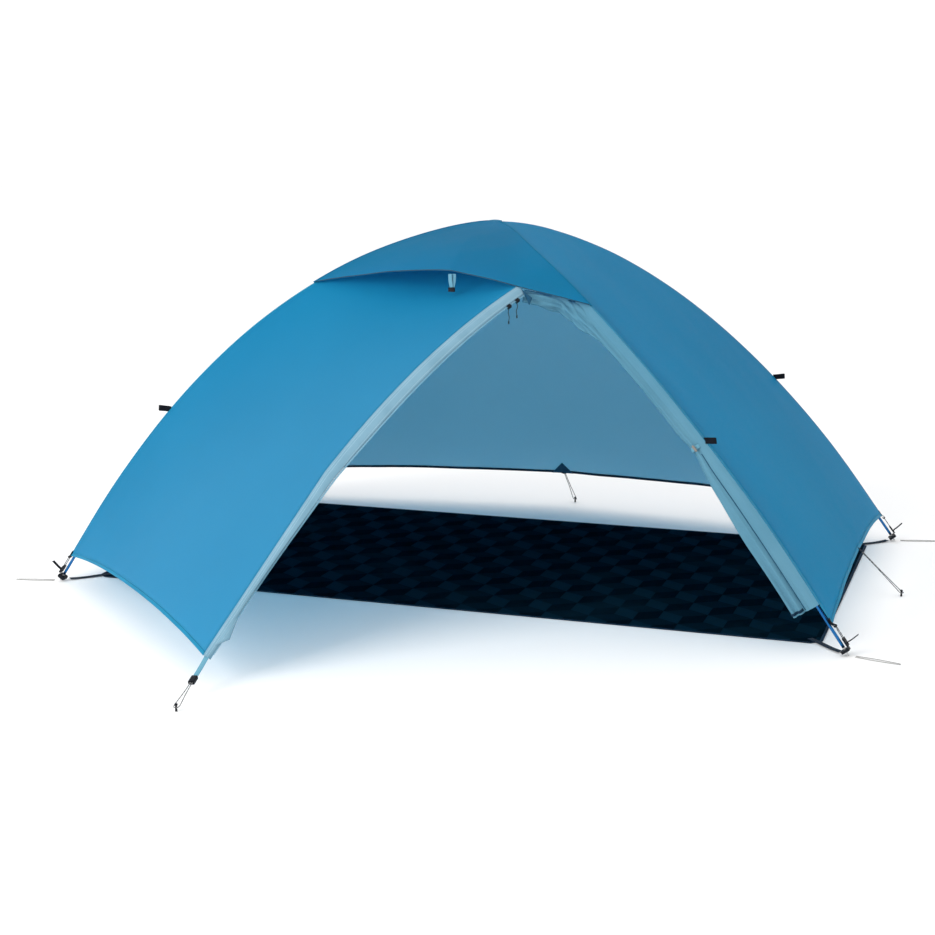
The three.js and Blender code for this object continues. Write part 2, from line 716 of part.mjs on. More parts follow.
// A guy line: a doubled cord from a hem's tie-out round a peg and back.
function buildGuy(name) {
  const peg = new THREE.LatheGeometry(pegProfile(), 10);
  peg.rotateX(Math.PI / 2);
  peg.translate(...PEGS[name].toArray());
  addMesh(`peg_${name}`, peg, 'plastic');

  const seat = PEGS[name].clone().setZ(CORD_SEAT);
  const out = seat.clone().sub(TIE_OUTS[name]).setZ(0).normalize();
  const side = out.clone().cross(UP).normalize();
  const wrap = PEG_RADIUS + GUY_RADIUS + WRAP_GAP;
  const round = (turn) => moved(moved(seat, out, wrap * Math.cos(turn)), side, wrap * Math.sin(turn));
  const strand = (share, sideways) => moved(mix(seat, TIE_OUTS[name], share), side, sideways);
  const top = 1 - 3 / seat.distanceTo(TIE_OUTS[name]);
  const path = new THREE.CatmullRomCurve3([
    strand(top, -2.2),
    strand(0.5, -STRAND_SPREAD),
    strand(0.12, -wrap),
    ...[-0.5, -0.25, 0, 0.25, 0.5].map((share) => round(share * Math.PI)),
    strand(0.12, wrap),
    strand(0.5, STRAND_SPREAD),
    strand(top, 2.2),
  ]);
  addMesh(`guy_${name}`, tube(path, 22, GUY_RADIUS, CORD_SIDES), 'cord');
}

// The webbing below the vestibule's tip, and the line lock that slides on its guy.
function buildVestibuleLine() {
  const start = moved(besideZip(1, FLAP_WIDTH / 2), zipLine.getTangentAt(1), 1);
  const end = TIE_OUTS.vestibule.clone();
  const run = end.clone().sub(start);
  const side = new THREE.Vector3(1, 0, 0);
  side.addScaledVector(run, -side.dot(run) / run.lengthSq()).normalize();
  const path = [0, 0.5, 1].map((share) => mix(start, end, share));
  addMesh('vestibule_strap', strip(path, side, VESTIBULE_STRAP_WIDTH, STRAP_THICKNESS), 'trim');

  const seat = PEGS.vestibule.clone().setZ(CORD_SEAT);
  const along = seat.sub(end).normalize();
  const across = new THREE.Vector3(1, 0, 0);
  across.addScaledVector(along, -across.dot(along)).normalize();
  const outline = roundedShape(LOCK.width, LOCK.height, LOCK.round);
  outline.holes.push(windowPath(LOCK.boreWidth, LOCK.boreHeight, 0, 0));
  const lock = slab(outline, LOCK.length);
  const place = moved(end, along, LOCK.start);
  addMesh('line_lock', placed(lock, place, across, along.clone().cross(across), along), 'plastic');
}

// Puts the middle of the base of the tent, without its lines and pegs, at the origin.
function standOnOrigin() {
  const box = new THREE.Box3();
  const line = /^(guy_|peg_|line_lock)/;
  for (const mesh of tent.children) {
    mesh.geometry.computeBoundingBox();
    if (!line.test(mesh.name)) box.union(mesh.geometry.boundingBox);
  }
  const middle = box.getCenter(new THREE.Vector3());
  for (const mesh of tent.children) mesh.position.set(-middle.x, -middle.y, -box.min.z);
}

buildPoles();
buildFly();
buildZip();
buildStrut();
buildDoorRoll();
buildDoorTie();
buildGroundSheet();
for (const [corner, leg] of Object.entries(LEGS)) buildCorner(corner, leg);
for (const name of Object.keys(PEGS)) buildGuy(name);
buildVestibuleLine();
standOnOrigin();

export default tent;
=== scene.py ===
import math

import bmesh
import bpy
import numpy as np
from mathutils import Matrix, Vector, noise


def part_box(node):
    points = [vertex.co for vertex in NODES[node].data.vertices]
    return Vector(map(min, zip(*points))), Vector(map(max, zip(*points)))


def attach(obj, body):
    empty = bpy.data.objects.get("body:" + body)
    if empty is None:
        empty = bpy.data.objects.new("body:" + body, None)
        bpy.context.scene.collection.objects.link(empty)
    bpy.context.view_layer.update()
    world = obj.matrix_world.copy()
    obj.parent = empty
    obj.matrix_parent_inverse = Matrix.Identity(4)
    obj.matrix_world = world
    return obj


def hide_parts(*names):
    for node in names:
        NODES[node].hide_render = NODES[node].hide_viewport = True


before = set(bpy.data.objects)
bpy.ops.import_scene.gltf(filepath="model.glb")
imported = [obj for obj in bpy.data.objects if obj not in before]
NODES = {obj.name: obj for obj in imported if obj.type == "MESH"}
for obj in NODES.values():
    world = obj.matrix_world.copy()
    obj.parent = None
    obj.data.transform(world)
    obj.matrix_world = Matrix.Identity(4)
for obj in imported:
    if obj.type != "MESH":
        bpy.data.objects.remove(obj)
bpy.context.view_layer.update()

# The camera stands at the front right of the tent, a little above its ridge, and looks slightly down.
CAMERA_PLACE = (1.657, -4.714, 1.392)
CAMERA_YAW = -0.3336
CAMERA_PITCH = 0.2014
CAMERA_ROLL = -0.0042
CAMERA_LENS = 64.85

# Everything below is in metres. The tent's own axes start under the crossing of the poles.
HALF_SPAN = 1.21
RIDGE_LIFT = 0.012
BROW_LIFT = 0.016
CROWN_REACH = 0.014
FLY_CORNER_REACH = 0.955
VESTIBULE_TOP_REACH = 0.22
BROW_LEFT_REACH = 0.33
BROW_RIGHT_REACH = 0.37
BROW_PEAK = (0.050, -0.548, 0.984)
BROW_SEAM_WIDTH = 0.006
SEAM_PROUD = 0.0009
ZIP_TOP = (0.240, -0.538, 0.943)
ZIP_SHOULDER = (0.068, -0.846, 0.800)
ZIP_BEND = (-0.110, -1.095, 0.500)
VESTIBULE_TIP = (-0.309, -1.422, 0.080)
FLAP_WIDTH = 0.038
ROLL_TOP_REACH = 0.34
ROLL_TIE_REACH = 0.66
ROLL_HEM_REACH = 0.925
ROLL_RADIUS = 0.019
TIE_RADIUS = 0.012
FAN_WIDE = 0.031
FAN_THICK = 0.008
ROLL_CLEARANCE = 0.005
TIE_PINCH = 0.03
DOOR_POINT = 0.05
DOOR_WIDTH = 1.55
VENT_REACH = 0.09
PULL_DIAMETER = 0.0022
FABRIC = 0.0005
SHEET_WIDTH = 2.25
SHEET_DEPTH = 1.17
SHEET_CORNER_CUT = 0.026
POLE_RADIUS = 0.00425
POLE_BORE = 0.0032
GUY_DIAMETER = 0.0025
ELASTIC_DIAMETER = 0.0022
PEG_RADIUS = 0.004
CORD_SEAT = 0.011

PEGS = {
    "vestibule": (-0.283, -1.615, 0.0),
    "right": (1.290, -0.030, 0.0),
    "back": (0.020, 0.905, 0.0),
    "left": (-1.290, -0.030, 0.0),
}
TIE_OUTS = {
    "vestibule": (-0.301, -1.478, 0.045),
    "right": (1.166, 0.0, 0.121),
    "back": (0.0, 0.833, 0.122),
    "left": (-1.166, 0.0, 0.121),
}
LEGS = {
    "front_left": (-1, -1),
    "front_right": (1, -1),
    "back_right": (1, 1),
    "back_left": (-1, 1),
}
UP = np.array([0.0, 0.0, 1.0])


# ---------------------------------------------------------------- vectors and lines

def vec(*numbers):
    return np.array(numbers, float)


def unit(vector):
    return vector / np.linalg.norm(vector)


def level_of(points):
    """Distances run along a line of points, from its start."""
    steps = np.linalg.norm(np.diff(points, axis=0), axis=1)
    return np.concatenate([[0.0], np.cumsum(steps)])


def smooth_line(points, count):
    """A Catmull-Rom line through some points, sampled evenly along its length."""
    points = np.array(points, float)
    ends = np.vstack([2 * points[0] - points[1], points, 2 * points[-1] - points[-2]])
    fine = []
    for k in range(len(points) - 1):
        before, start, end, after = ends[k : k + 4]
        for t in np.linspace(0, 1, 24, endpoint=False):
            fine.append(cubic(before, start, end, after, t))
    fine.append(points[-1])
    return evenly(np.array(fine), count)


def cubic(before, start, end, after, t):
    slope = end - before
    bend = 2 * before - 5 * start + 4 * end - after
    twist = 3 * start - before - 3 * end + after
    return 0.5 * (2 * start + slope * t + bend * t**2 + twist * t**3)


def evenly(points, count):
    run = level_of(points)
    places = np.linspace(0, run[-1], count)
    return np.stack([np.interp(places, run, points[:, axis]) for axis in range(3)], axis=1)


def smoothstep(value, low, high):
    share = np.clip((value - low) / (high - low), 0, 1)
    return share * share * (3 - 2 * share)


# ---------------------------------------------------------------- what the CAD frame gives

def pole_line(name):
    """The centreline of a CAD pole, from its rings of vertices, left to right."""
    ring_gap = 0.015
    points = np.array([v.co for v in NODES[name].data.vertices])
    points = points[np.argsort(points[:, 0])]
    breaks = np.nonzero(np.diff(points[:, 0]) > ring_gap)[0] + 1
    return np.array([ring.mean(0) for ring in np.split(points, breaks)])


def crown():
    low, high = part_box("fly_crown_patch")
    return vec((low.x + high.x) / 2, (low.y + high.y) / 2, 0)


CROWN = crown()
POLE_LINES = {"left": pole_line("pole_left"), "right": pole_line("pole_right")}


def placed(point):
    """A point given from the ground under the crossing, in the frame."""
    return np.array(point, float) + CROWN


def on_line(line, x):
    k = int(np.clip(np.searchsorted(line[:, 0], x) - 1, 0, len(line) - 2))
    before = line[k - 1] if k > 0 else 2 * line[0] - line[1]
    after = line[k + 2] if k < len(line) - 2 else 2 * line[-1] - line[-2]
    share = (x - line[k][0]) / (line[k + 1][0] - line[k][0])
    return cubic(before, line[k], line[k + 1], after, share)


CROSSING_DROP = on_line(POLE_LINES["left"], CROWN[0])[2] - on_line(POLE_LINES["right"], CROWN[0])[2]


def on_pole(leg, reach):
    """A point of the leg's pole. Reach is 0 at the crossing and 1 at the foot."""
    line = POLE_LINES["left" if leg[0] * leg[1] > 0 else "right"]
    return on_line(line, CROWN[0] + leg[0] * HALF_SPAN * reach)


def up_leg(leg, reach):
    return unit(on_pole(leg, reach - 0.01) - on_pole(leg, reach + 0.01))


def ridge(leg, reach, lift):
    """A point of the flysheet over the pole, lifted at right angles to it."""
    point = on_pole(leg, reach)
    tangent = up_leg(leg, reach)
    outward = point - CROWN
    outward = unit(outward - tangent * outward.dot(tangent))
    crossing = 0 if leg[0] * leg[1] > 0 else CROSSING_DROP * (1 - reach) ** 2
    return point + outward * (lift + crossing)


def ridge_line(leg, reaches, lift):
    return np.array([ridge(leg, reach, lift) for reach in reaches])


def foot_frame(leg):
    """A leg's foot, and the directions up the leg, level across it, and outward from it."""
    up = up_leg(leg, 0.99)
    foot = on_pole(leg, 0.98)
    foot = foot - up * foot[2] / up[2]
    level = unit(np.cross(UP, up))
    return foot, up, level, np.cross(up, level)


def make_zip_line():
    top, shoulder, bend, tip = (placed(p) for p in (ZIP_TOP, ZIP_SHOULDER, ZIP_BEND, VESTIBULE_TIP))
    share = np.linspace(0, 1, 80)[:, None]
    curve = top * (1 - share) ** 2 + shoulder * 2 * share * (1 - share) + bend * share**2
    straight = bend + (tip - bend) * share[1:]
    return evenly(np.vstack([curve, straight]), 400)


ZIP_LINE = make_zip_line()


def on_zip(share):
    place = share * (len(ZIP_LINE) - 1)
    k = int(np.clip(math.floor(place), 0, len(ZIP_LINE) - 2))
    return ZIP_LINE[k] + (ZIP_LINE[k + 1] - ZIP_LINE[k]) * (place - k)


def zip_tangent(share):
    return unit(on_zip(min(share + 0.01, 1)) - on_zip(max(share - 0.01, 0)))


def across_door(share):
    """From the zip towards the right front leg, at right angles to the zip."""
    tangent = zip_tangent(share)
    across = ridge(LEGS["front_right"], 0.4 + 0.5 * share, RIDGE_LIFT) - on_zip(share)
    return unit(across - tangent * across.dot(tangent))


def beside_zip(share, distance):
    return on_zip(share) + across_door(share) * distance


# ---------------------------------------------------------------- camera, floor and light

def make_camera():
    forward = vec(
        math.sin(CAMERA_YAW) * math.cos(CAMERA_PITCH),
        math.cos(CAMERA_YAW) * math.cos(CAMERA_PITCH),
        -math.sin(CAMERA_PITCH),
    )
    level = unit(np.cross(forward, UP))
    rise = np.cross(level, forward)
    right = math.cos(CAMERA_ROLL) * level + math.sin(CAMERA_ROLL) * rise
    up = math.cos(CAMERA_ROLL) * rise - math.sin(CAMERA_ROLL) * level
    camera = bpy.data.objects.new("camera", bpy.data.cameras.new("camera"))
    camera.data.lens = CAMERA_LENS
    camera.data.sensor_width = 36
    turn = Matrix([[right[i], up[i], -forward[i]] for i in range(3)])
    camera.matrix_world = Matrix.Translation(CAMERA_PLACE) @ turn.to_4x4()
    bpy.context.scene.collection.objects.link(camera)
    bpy.context.scene.camera = camera


def make_area_light(name, place, size, power, colour):
    data = bpy.data.lights.new(name, "AREA")
    data.size = size
    data.energy = power
    data.color = colour
    light = bpy.data.objects.new(name, data)
    light.location = place
    aim = Vector((0, 0, 0.4)) - Vector(place)
    light.rotation_euler = aim.to_track_quat("-Z", "Y").to_euler()
    bpy.context.scene.collection.objects.link(light)


def make_studio():
    scene = bpy.context.scene
    scene.view_settings.view_transform = "Standard"
    world = bpy.data.worlds.new("studio")
    world.use_nodes = True
    background = world.node_tree.nodes["Background"]
    background.inputs["Color"].default_value = (1.0, 1.0, 1.0, 1)
    background.inputs["Strength"].default_value = 1.05
    scene.world = world
    make_area_light("key", (-3.4, -6.0, 3.4), 4.0, 340, (1.0, 0.97, 0.93))


def make_floor():
    mesh = bpy.data.meshes.new("floor")
    edge = 30
    level = -0.0006
    corners = [(-edge, -edge, level), (edge, -edge, level), (edge, edge, level), (-edge, edge, level)]
    mesh.from_pydata(corners, [], [(0, 1, 2, 3)])
    floor = bpy.data.objects.new("floor", mesh)
    bpy.context.scene.collection.objects.link(floor)
    finish = Finish("floor_paint", roughness=0.85, specular=0.15)
    tone = finish.noise(3.0, detail=3)
    finish.colour(finish.mix(tone, (0.962, 0.965, 0.968), (0.980, 0.982, 0.984)))
    mesh.materials.append(finish.material)


# ---------------------------------------------------------------- materials

class Finish:
    """A procedural material while it is put together."""

    def __init__(self, name, roughness=0.5, metallic=0.0, specular=0.5, sheen=0.0, coat=0.0):
        self.material = bpy.data.materials.new(name)
        self.material.use_nodes = True
        self.tree = self.material.node_tree
        self.shader = self.tree.nodes["Principled BSDF"]
        self.output = self.tree.nodes["Material Output"]
        self.shader.inputs["Roughness"].default_value = roughness
        self.shader.inputs["Metallic"].default_value = metallic
        self.shader.inputs["Specular IOR Level"].default_value = specular
        self.shader.inputs["Sheen Weight"].default_value = sheen
        self.shader.inputs["Coat Weight"].default_value = coat
        self.normal = None

    def node(self, kind, values=(), **settings):
        node = self.tree.nodes.new(kind)
        for key, value in settings.items():
            setattr(node, key, value)
        for place, value in dict(values).items():
            self.put(node.inputs[place], value)
        return node

    def put(self, socket, value):
        if isinstance(value, bpy.types.NodeSocket):
            self.tree.links.new(value, socket)
        elif isinstance(value, tuple) and len(value) == 3 and socket.type == "RGBA":
            socket.default_value = (*value, 1)
        else:
            socket.default_value = value

    def math(self, operation, first, second=0.0, third=0.0):
        values = {0: first, 1: second, 2: third}
        return self.node("ShaderNodeMath", values, operation=operation).outputs[0]

    def vector(self, operation, first, second):
        node = self.node("ShaderNodeVectorMath", {0: first, 1: second}, operation=operation)
        return node.outputs["Value" if operation == "DOT_PRODUCT" else "Vector"]

    def mix(self, share, first, second):
        node = self.node("ShaderNodeMix", data_type="RGBA")
        self.put(node.inputs["Factor"], share)
        self.put(node.inputs["A"], first)
        self.put(node.inputs["B"], second)
        return node.outputs["Result"]

    def uv(self):
        return self.node("ShaderNodeTexCoord").outputs["UV"]

    def place(self):
        return self.node("ShaderNodeTexCoord").outputs["Object"]

    def scaled(self, vector, by):
        return self.node("ShaderNodeMapping", {"Vector": vector, "Scale": by}).outputs[0]

    def noise(self, scale, detail=4, vector=None, roughness=0.5):
        values = {"Scale": scale, "Detail": detail, "Roughness": roughness, "Vector": vector or self.place()}
        return self.node("ShaderNodeTexNoise", values).outputs["Fac"]

    def ramp(self, value, low, high):
        """0 below low, 1 above high."""
        node = self.node("ShaderNodeMapRange", {"Value": value, "From Min": low, "From Max": high})
        node.interpolation_type = "SMOOTHSTEP"
        return node.outputs[0]

    def split(self, vector):
        return self.node("ShaderNodeSeparateXYZ", {0: vector}).outputs

    def stripes(self, coordinate, pitch):
        """A sine across a coordinate in metres, from 0 to 1."""
        turn = self.math("MULTIPLY", coordinate, 2 * math.pi / pitch)
        return self.math("MULTIPLY_ADD", self.math("SINE", turn), 0.5, 0.5)

    def lines(self, coordinate, pitch, width):
        """1 on lines that repeat at a pitch, 0 between them."""
        share = self.math("FRACT", self.math("DIVIDE", coordinate, pitch))
        return self.math("LESS_THAN", share, width / pitch)

    def bump(self, height, distance, strength=1.0):
        values = {"Height": height, "Distance": distance, "Strength": strength}
        if self.normal is not None:
            values["Normal"] = self.normal
        self.normal = self.node("ShaderNodeBump", values).outputs[0]
        self.put(self.shader.inputs["Normal"], self.normal)

    def colour(self, value):
        self.put(self.shader.inputs["Base Color"], value)

    def roughness(self, value):
        self.put(self.shader.inputs["Roughness"], value)

    def translucent(self, share, colour):
        """Lets some light through, as thin cloth does."""
        through = self.node("ShaderNodeBsdfTranslucent", {"Color": colour})
        if self.normal is not None:
            self.put(through.inputs["Normal"], self.normal)
        both = self.node("ShaderNodeMixShader", {0: share})
        self.tree.links.new(self.shader.outputs[0], both.inputs[1])
        self.tree.links.new(through.outputs[0], both.inputs[2])
        self.tree.links.new(both.outputs[0], self.output.inputs["Surface"])


def fabric_finish(name, colour, deep, roughness, through, share):
    """Coated ripstop nylon: a plain weave, a grid of thicker threads, soft uneven tone, and a painted sheen
    towards the front.
    """
    weave_pitch = 0.0009
    grid_pitch = 0.0055
    finish = Finish(name, roughness=roughness, specular=0.05)
    u, v, _ = finish.split(finish.uv())
    grid = finish.math("MAXIMUM", finish.lines(u, grid_pitch, 0.0006), finish.lines(v, grid_pitch, 0.0006))
    weave = finish.math("MULTIPLY", finish.stripes(u, weave_pitch), finish.stripes(v, weave_pitch))
    broad = finish.noise(2.2, detail=5, roughness=0.55)
    fine = finish.noise(60.0, detail=3)
    tone = finish.mix(finish.ramp(broad, 0.3, 0.7), deep, colour)
    lighter = tuple(min(1.0, part * 1.16 + 0.01) for part in colour)
    tone = finish.mix(finish.math("MULTIPLY", grid, 0.45), tone, lighter)
    # Towards the front (-y) the cloth is mixed 14% towards a grey-blue: painted sheen in place of the key
    # light's gloss on the front panels. On the paler cloths the same mix darkens them a little.
    towards_front = finish.math("MULTIPLY", finish.split(finish.place())[1], -1.0)
    painted_sheen = finish.math("MULTIPLY", finish.ramp(towards_front, 0.05, 0.75), 0.14)
    tone = finish.mix(painted_sheen, tone, (0.26, 0.34, 0.40))
    finish.colour(tone)
    finish.roughness(finish.math("MULTIPLY_ADD", fine, 0.14, roughness - 0.07))
    finish.bump(finish.math("MULTIPLY_ADD", grid, 0.6, weave), 0.00012, 0.5)
    finish.bump(finish.noise(9.0, detail=4), 0.004, 0.22)
    finish.translucent(share, through)
    return finish.material


def stitched_finish(name, colour, deep, thread, offsets, roughness=0.6, pitch=0.0032):
    """A folded strip with rows of stitches at given places across it. U runs across in metres, V along."""
    finish = Finish(name, roughness=roughness, specular=0.12)
    u, v, _ = finish.split(finish.uv())
    dash = finish.math("LESS_THAN", finish.math("FRACT", finish.math("DIVIDE", v, pitch)), 0.68)
    stitches = 0.0
    for offset in offsets:
        near = finish.math("LESS_THAN", finish.math("ABSOLUTE", finish.math("SUBTRACT", u, offset)), 0.0005)
        stitches = finish.math("MAXIMUM", finish.math("MULTIPLY", near, dash), stitches)
    weave = finish.math("MULTIPLY", finish.stripes(u, 0.0009), finish.stripes(v, 0.0009))
    tone = finish.mix(finish.ramp(finish.noise(14.0), 0.3, 0.7), deep, colour)
    finish.colour(finish.mix(stitches, tone, thread))
    finish.bump(weave, 0.00012, 0.5)
    finish.bump(stitches, 0.0004, 0.7)
    pucker = finish.noise(1.0, detail=3, vector=finish.scaled(finish.uv(), (60, 140, 1)))
    finish.bump(pucker, 0.0012, 0.5)
    return finish.material


def webbing_finish(name, colour, deep):
    """Woven tape: ribs across it, and fuzz where it rubs."""
    finish = Finish(name, roughness=0.82, specular=0.10, sheen=0.04)
    u, v, _ = finish.split(finish.uv())
    ribs = finish.stripes(v, 0.0016)
    rows = finish.stripes(u, 0.0011)
    fuzz = finish.noise(220.0, detail=4)
    # Rib crests take the colour and the grooves between them the deep colour: painted shade in the weave.
    tone = finish.mix(finish.math("MULTIPLY", ribs, rows), deep, colour)
    worn = tuple(min(1.0, part * 1.5 + 0.02) for part in colour)
    tone = finish.mix(finish.math("MULTIPLY", finish.ramp(fuzz, 0.62, 0.8), 0.5), tone, worn)
    finish.colour(tone)
    finish.bump(finish.math("MULTIPLY", ribs, rows), 0.0004, 0.8)
    return finish.material


def cord_finish(name, colour, fleck, scale=900.0):
    """Braided sleeve: crossing strands with a fleck of tracer thread."""
    finish = Finish(name, roughness=0.7, specular=0.3, sheen=0.3)
    values = {"Vector": finish.place(), "Scale": scale, "Randomness": 0.7}
    cells = finish.node("ShaderNodeTexVoronoi", values)
    # Darker towards the edges of each cell: painted shade between the strands of the braid.
    shade = tuple(part * 0.45 for part in colour)
    tone = finish.mix(finish.ramp(cells.outputs["Distance"], 0.2, 0.7), colour, shade)
    pick = finish.ramp(finish.noise(330.0, detail=2), 0.55, 0.62)
    finish.colour(finish.mix(pick, tone, fleck))
    finish.bump(cells.outputs["Distance"], 0.0004, 0.7)
    return finish.material


def anodised_finish(name, colour, worn, roughness):
    """Anodised aluminium tube: fine drawn lines, and paler rubbed places."""
    finish = Finish(name, roughness=roughness, metallic=1.0)
    drawn = finish.noise(1.0, detail=4, vector=finish.scaled(finish.uv(), (900, 14, 1)))
    rubbed = finish.ramp(finish.noise(26.0, detail=6, roughness=0.65), 0.58, 0.72)
    finish.colour(finish.mix(finish.math("MULTIPLY", rubbed, 0.35), colour, worn))
    finish.roughness(finish.math("MULTIPLY_ADD", drawn, 0.2, roughness - 0.1))
    finish.bump(drawn, 0.00005, 0.5)
    return finish.material


def metal_finish(name, colour, roughness):
    finish = Finish(name, roughness=roughness, metallic=1.0)
    scuff = finish.noise(140.0, detail=6, roughness=0.7)
    finish.colour(finish.mix(finish.ramp(scuff, 0.45, 0.75), colour, tuple(p * 0.6 for p in colour)))
    finish.roughness(finish.math("MULTIPLY_ADD", scuff, 0.3, roughness - 0.12))
    finish.bump(scuff, 0.0001, 0.5)
    return finish.material


def plastic_finish(name, colour, rubbed, roughness):
    """Moulded nylon: a fine spark-eroded grain and slightly paler handled places."""
    finish = Finish(name, roughness=roughness, specular=0.10)
    grain = finish.noise(1400.0, detail=2)
    handled = finish.ramp(finish.noise(45.0, detail=5), 0.5, 0.75)
    finish.colour(finish.mix(finish.math("MULTIPLY", handled, 0.6), colour, rubbed))
    finish.roughness(finish.math("MULTIPLY_ADD", grain, 0.2, roughness - 0.1))
    finish.bump(grain, 0.00012, 0.6)
    return finish.material


def hexagon_cell(finish, point, size):
    """Each point's place in its own hexagon, from its middle. Size is the hexagon's width."""
    period = (size, size * math.sqrt(3), 1.0)
    half = tuple(part / 2 for part in period[:2]) + (0.0,)
    candidates = []
    for shift in ((0.0, 0.0, 0.0), half):
        moved = finish.vector("ADD", point, shift)
        wrapped = finish.node("ShaderNodeVectorMath", {0: moved, 1: period, 2: (0, 0, 0)}, operation="WRAP")
        candidates.append(finish.vector("SUBTRACT", wrapped.outputs["Vector"], half))
    flat = [finish.vector("MULTIPLY", candidate, (1, 1, 0)) for candidate in candidates]
    nearer = finish.math("LESS_THAN", finish.vector("DOT_PRODUCT", flat[0], flat[0]),
                         finish.vector("DOT_PRODUCT", flat[1], flat[1]))
    chosen = finish.node("ShaderNodeMix", data_type="VECTOR")
    finish.put(chosen.inputs["Factor"], nearer)
    finish.put(chosen.inputs[4], flat[1])
    finish.put(chosen.inputs[5], flat[0])
    return chosen.outputs[1]


def ground_sheet_finish():
    """Coated dark polyester with a plain tumbling-block print, paler where it has been walked on."""
    block = 0.13
    finish = Finish("ground_sheet_cloth", roughness=0.6, specular=0.0)
    cell = hexagon_cell(finish, finish.place(), block)
    x, y, _ = finish.split(cell)
    faces = [finish.vector("DOT_PRODUCT", cell, (math.sin(turn), math.cos(turn), 0))
             for turn in (0, 2 * math.pi / 3, -2 * math.pi / 3)]
    top = finish.math("GREATER_THAN", faces[0], finish.math("MAXIMUM", faces[1], faces[2]))
    right = finish.math("GREATER_THAN", faces[1], finish.math("MAXIMUM", faces[0], faces[2]))
    wide = finish.math("ABSOLUTE", x)
    slope = finish.math("MULTIPLY_ADD", finish.math("ABSOLUTE", y), math.sqrt(3) / 2,
                        finish.math("MULTIPLY", wide, 0.5))
    edge = finish.math("GREATER_THAN", finish.math("MAXIMUM", wide, slope), block / 2 - 0.0012)
    tone = finish.mix(right, (0.0022, 0.0160, 0.0300), (0.0007, 0.0050, 0.0105))
    tone = finish.mix(top, tone, (0.0013, 0.0095, 0.0185))
    tone = finish.mix(finish.math("MULTIPLY", edge, 0.8), tone, (0.0003, 0.0018, 0.0045))
    walked = finish.ramp(finish.noise(3.0, detail=6, roughness=0.62), 0.45, 0.75)
    tone = finish.mix(finish.math("MULTIPLY", walked, 0.45), tone, (0.0035, 0.0190, 0.0310))
    finish.colour(tone)
    u, v, _ = finish.split(finish.place())
    weave = finish.math("MULTIPLY", finish.stripes(u, 0.0012), finish.stripes(v, 0.0012))
    finish.roughness(finish.math("MULTIPLY_ADD", finish.noise(22.0, detail=4), 0.3, 0.36))
    finish.bump(weave, 0.00012, 0.4)
    finish.bump(finish.noise(16.0, detail=5), 0.004, 0.35)
    return finish.material


def make_finishes():
    blue = (0.008, 0.222, 0.385)
    deep_blue = (0.005, 0.202, 0.358)
    pale = (0.600, 0.780, 0.850)
    deep_pale = (0.560, 0.740, 0.810)
    band = (0.180, 0.330, 0.430)
    deep_band = (0.150, 0.290, 0.385)
    navy = (0.006, 0.030, 0.062)
    deep_navy = (0.003, 0.014, 0.030)
    pale_thread = (0.34, 0.50, 0.60)
    blue_thread = (0.02, 0.22, 0.42)
    return {
        "fly": fabric_finish("fly_outer", blue, deep_blue, 0.50, (0.05, 0.52, 0.84), 0.46),
        "inside": fabric_finish("fly_inner", pale, deep_pale, 0.62, (0.80, 0.90, 0.95), 0.50),
        "door": fabric_finish("door_cloth", (0.130, 0.330, 0.450), (0.090, 0.270, 0.385), 0.60,
                              (0.20, 0.50, 0.66), 0.30),
        "seam": stitched_finish("fly_seam", deep_blue, tuple(part * 0.85 for part in deep_blue), blue_thread,
                                (0.003, 0.009)),
        "zip": plastic_finish("zip_nylon", (0.16, 0.36, 0.48), (0.24, 0.46, 0.58), 0.5),
        "pale_seam": stitched_finish("pale_seam", band, deep_band, pale_thread, (0.006, 0.012, 0.030)),
        "navy_tape": stitched_finish("navy_tape", navy, deep_navy, (0.03, 0.07, 0.12), (0.0085,),
                                     roughness=0.75),
        "patch": stitched_finish("navy_patch", (0.012, 0.075, 0.14), (0.008, 0.055, 0.11),
                                 (0.05, 0.12, 0.19), (0.004,)),
        "webbing": webbing_finish("navy_webbing_weave", (0.010, 0.036, 0.070), (0.003, 0.012, 0.026)),
        "black_webbing": webbing_finish("black_webbing_weave", (0.007, 0.011, 0.020), (0.002, 0.003, 0.006)),
        "pale_webbing": webbing_finish("pale_webbing_weave", (0.20, 0.44, 0.56), (0.10, 0.28, 0.39)),
        "guy": cord_finish("guy_braid", (0.085, 0.090, 0.098), (0.50, 0.52, 0.54)),
        "corner_cord": cord_finish("corner_cord_braid", (0.020, 0.026, 0.036), (0.35, 0.37, 0.39)),
        "elastic": cord_finish("elastic_sleeve", (0.52, 0.52, 0.51), (0.30, 0.30, 0.30)),
        "pull_cord": cord_finish("pull_cord_braid", (0.008, 0.009, 0.012), (0.03, 0.032, 0.036)),
        "pole": anodised_finish("pole_anodised", (0.020, 0.150, 0.400), (0.28, 0.44, 0.62), 0.30),
        "ferrule": anodised_finish("ferrule_anodised", (0.030, 0.180, 0.440), (0.50, 0.58, 0.66), 0.24),
        "tip": metal_finish("tip_metal", (0.62, 0.63, 0.64), 0.34),
        "black": plastic_finish("black_nylon", (0.006, 0.008, 0.012), (0.018, 0.021, 0.027), 0.46),
        "grey": plastic_finish("grey_nylon", (0.215, 0.205, 0.190), (0.32, 0.31, 0.29), 0.42),
        "sheet": ground_sheet_finish(),
    }


# ---------------------------------------------------------------- mesh building

def new_object(name, vertices, faces, materials, uvs=None, smooth=True):
    mesh = bpy.data.meshes.new(name)
    mesh.from_pydata([tuple(v) for v in vertices], [], faces)
    if uvs is not None:
        layer = mesh.uv_layers.new(name="UVMap")
        for loop in mesh.loops:
            layer.data[loop.index].uv = uvs[loop.vertex_index]
    for material in materials:
        mesh.materials.append(material)
    mesh.polygons.foreach_set("use_smooth", [smooth] * len(mesh.polygons))
    made = bpy.data.objects.new(name, mesh)
    bpy.context.scene.collection.objects.link(made)
    return made


def piece(made, body, slot, *nodes):
    """Puts a finished piece on its body, in place of the CAD nodes it stands for. The slot argument is not
    used.
    """
    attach(made, body)
    if nodes:
        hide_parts(*nodes)
    return made


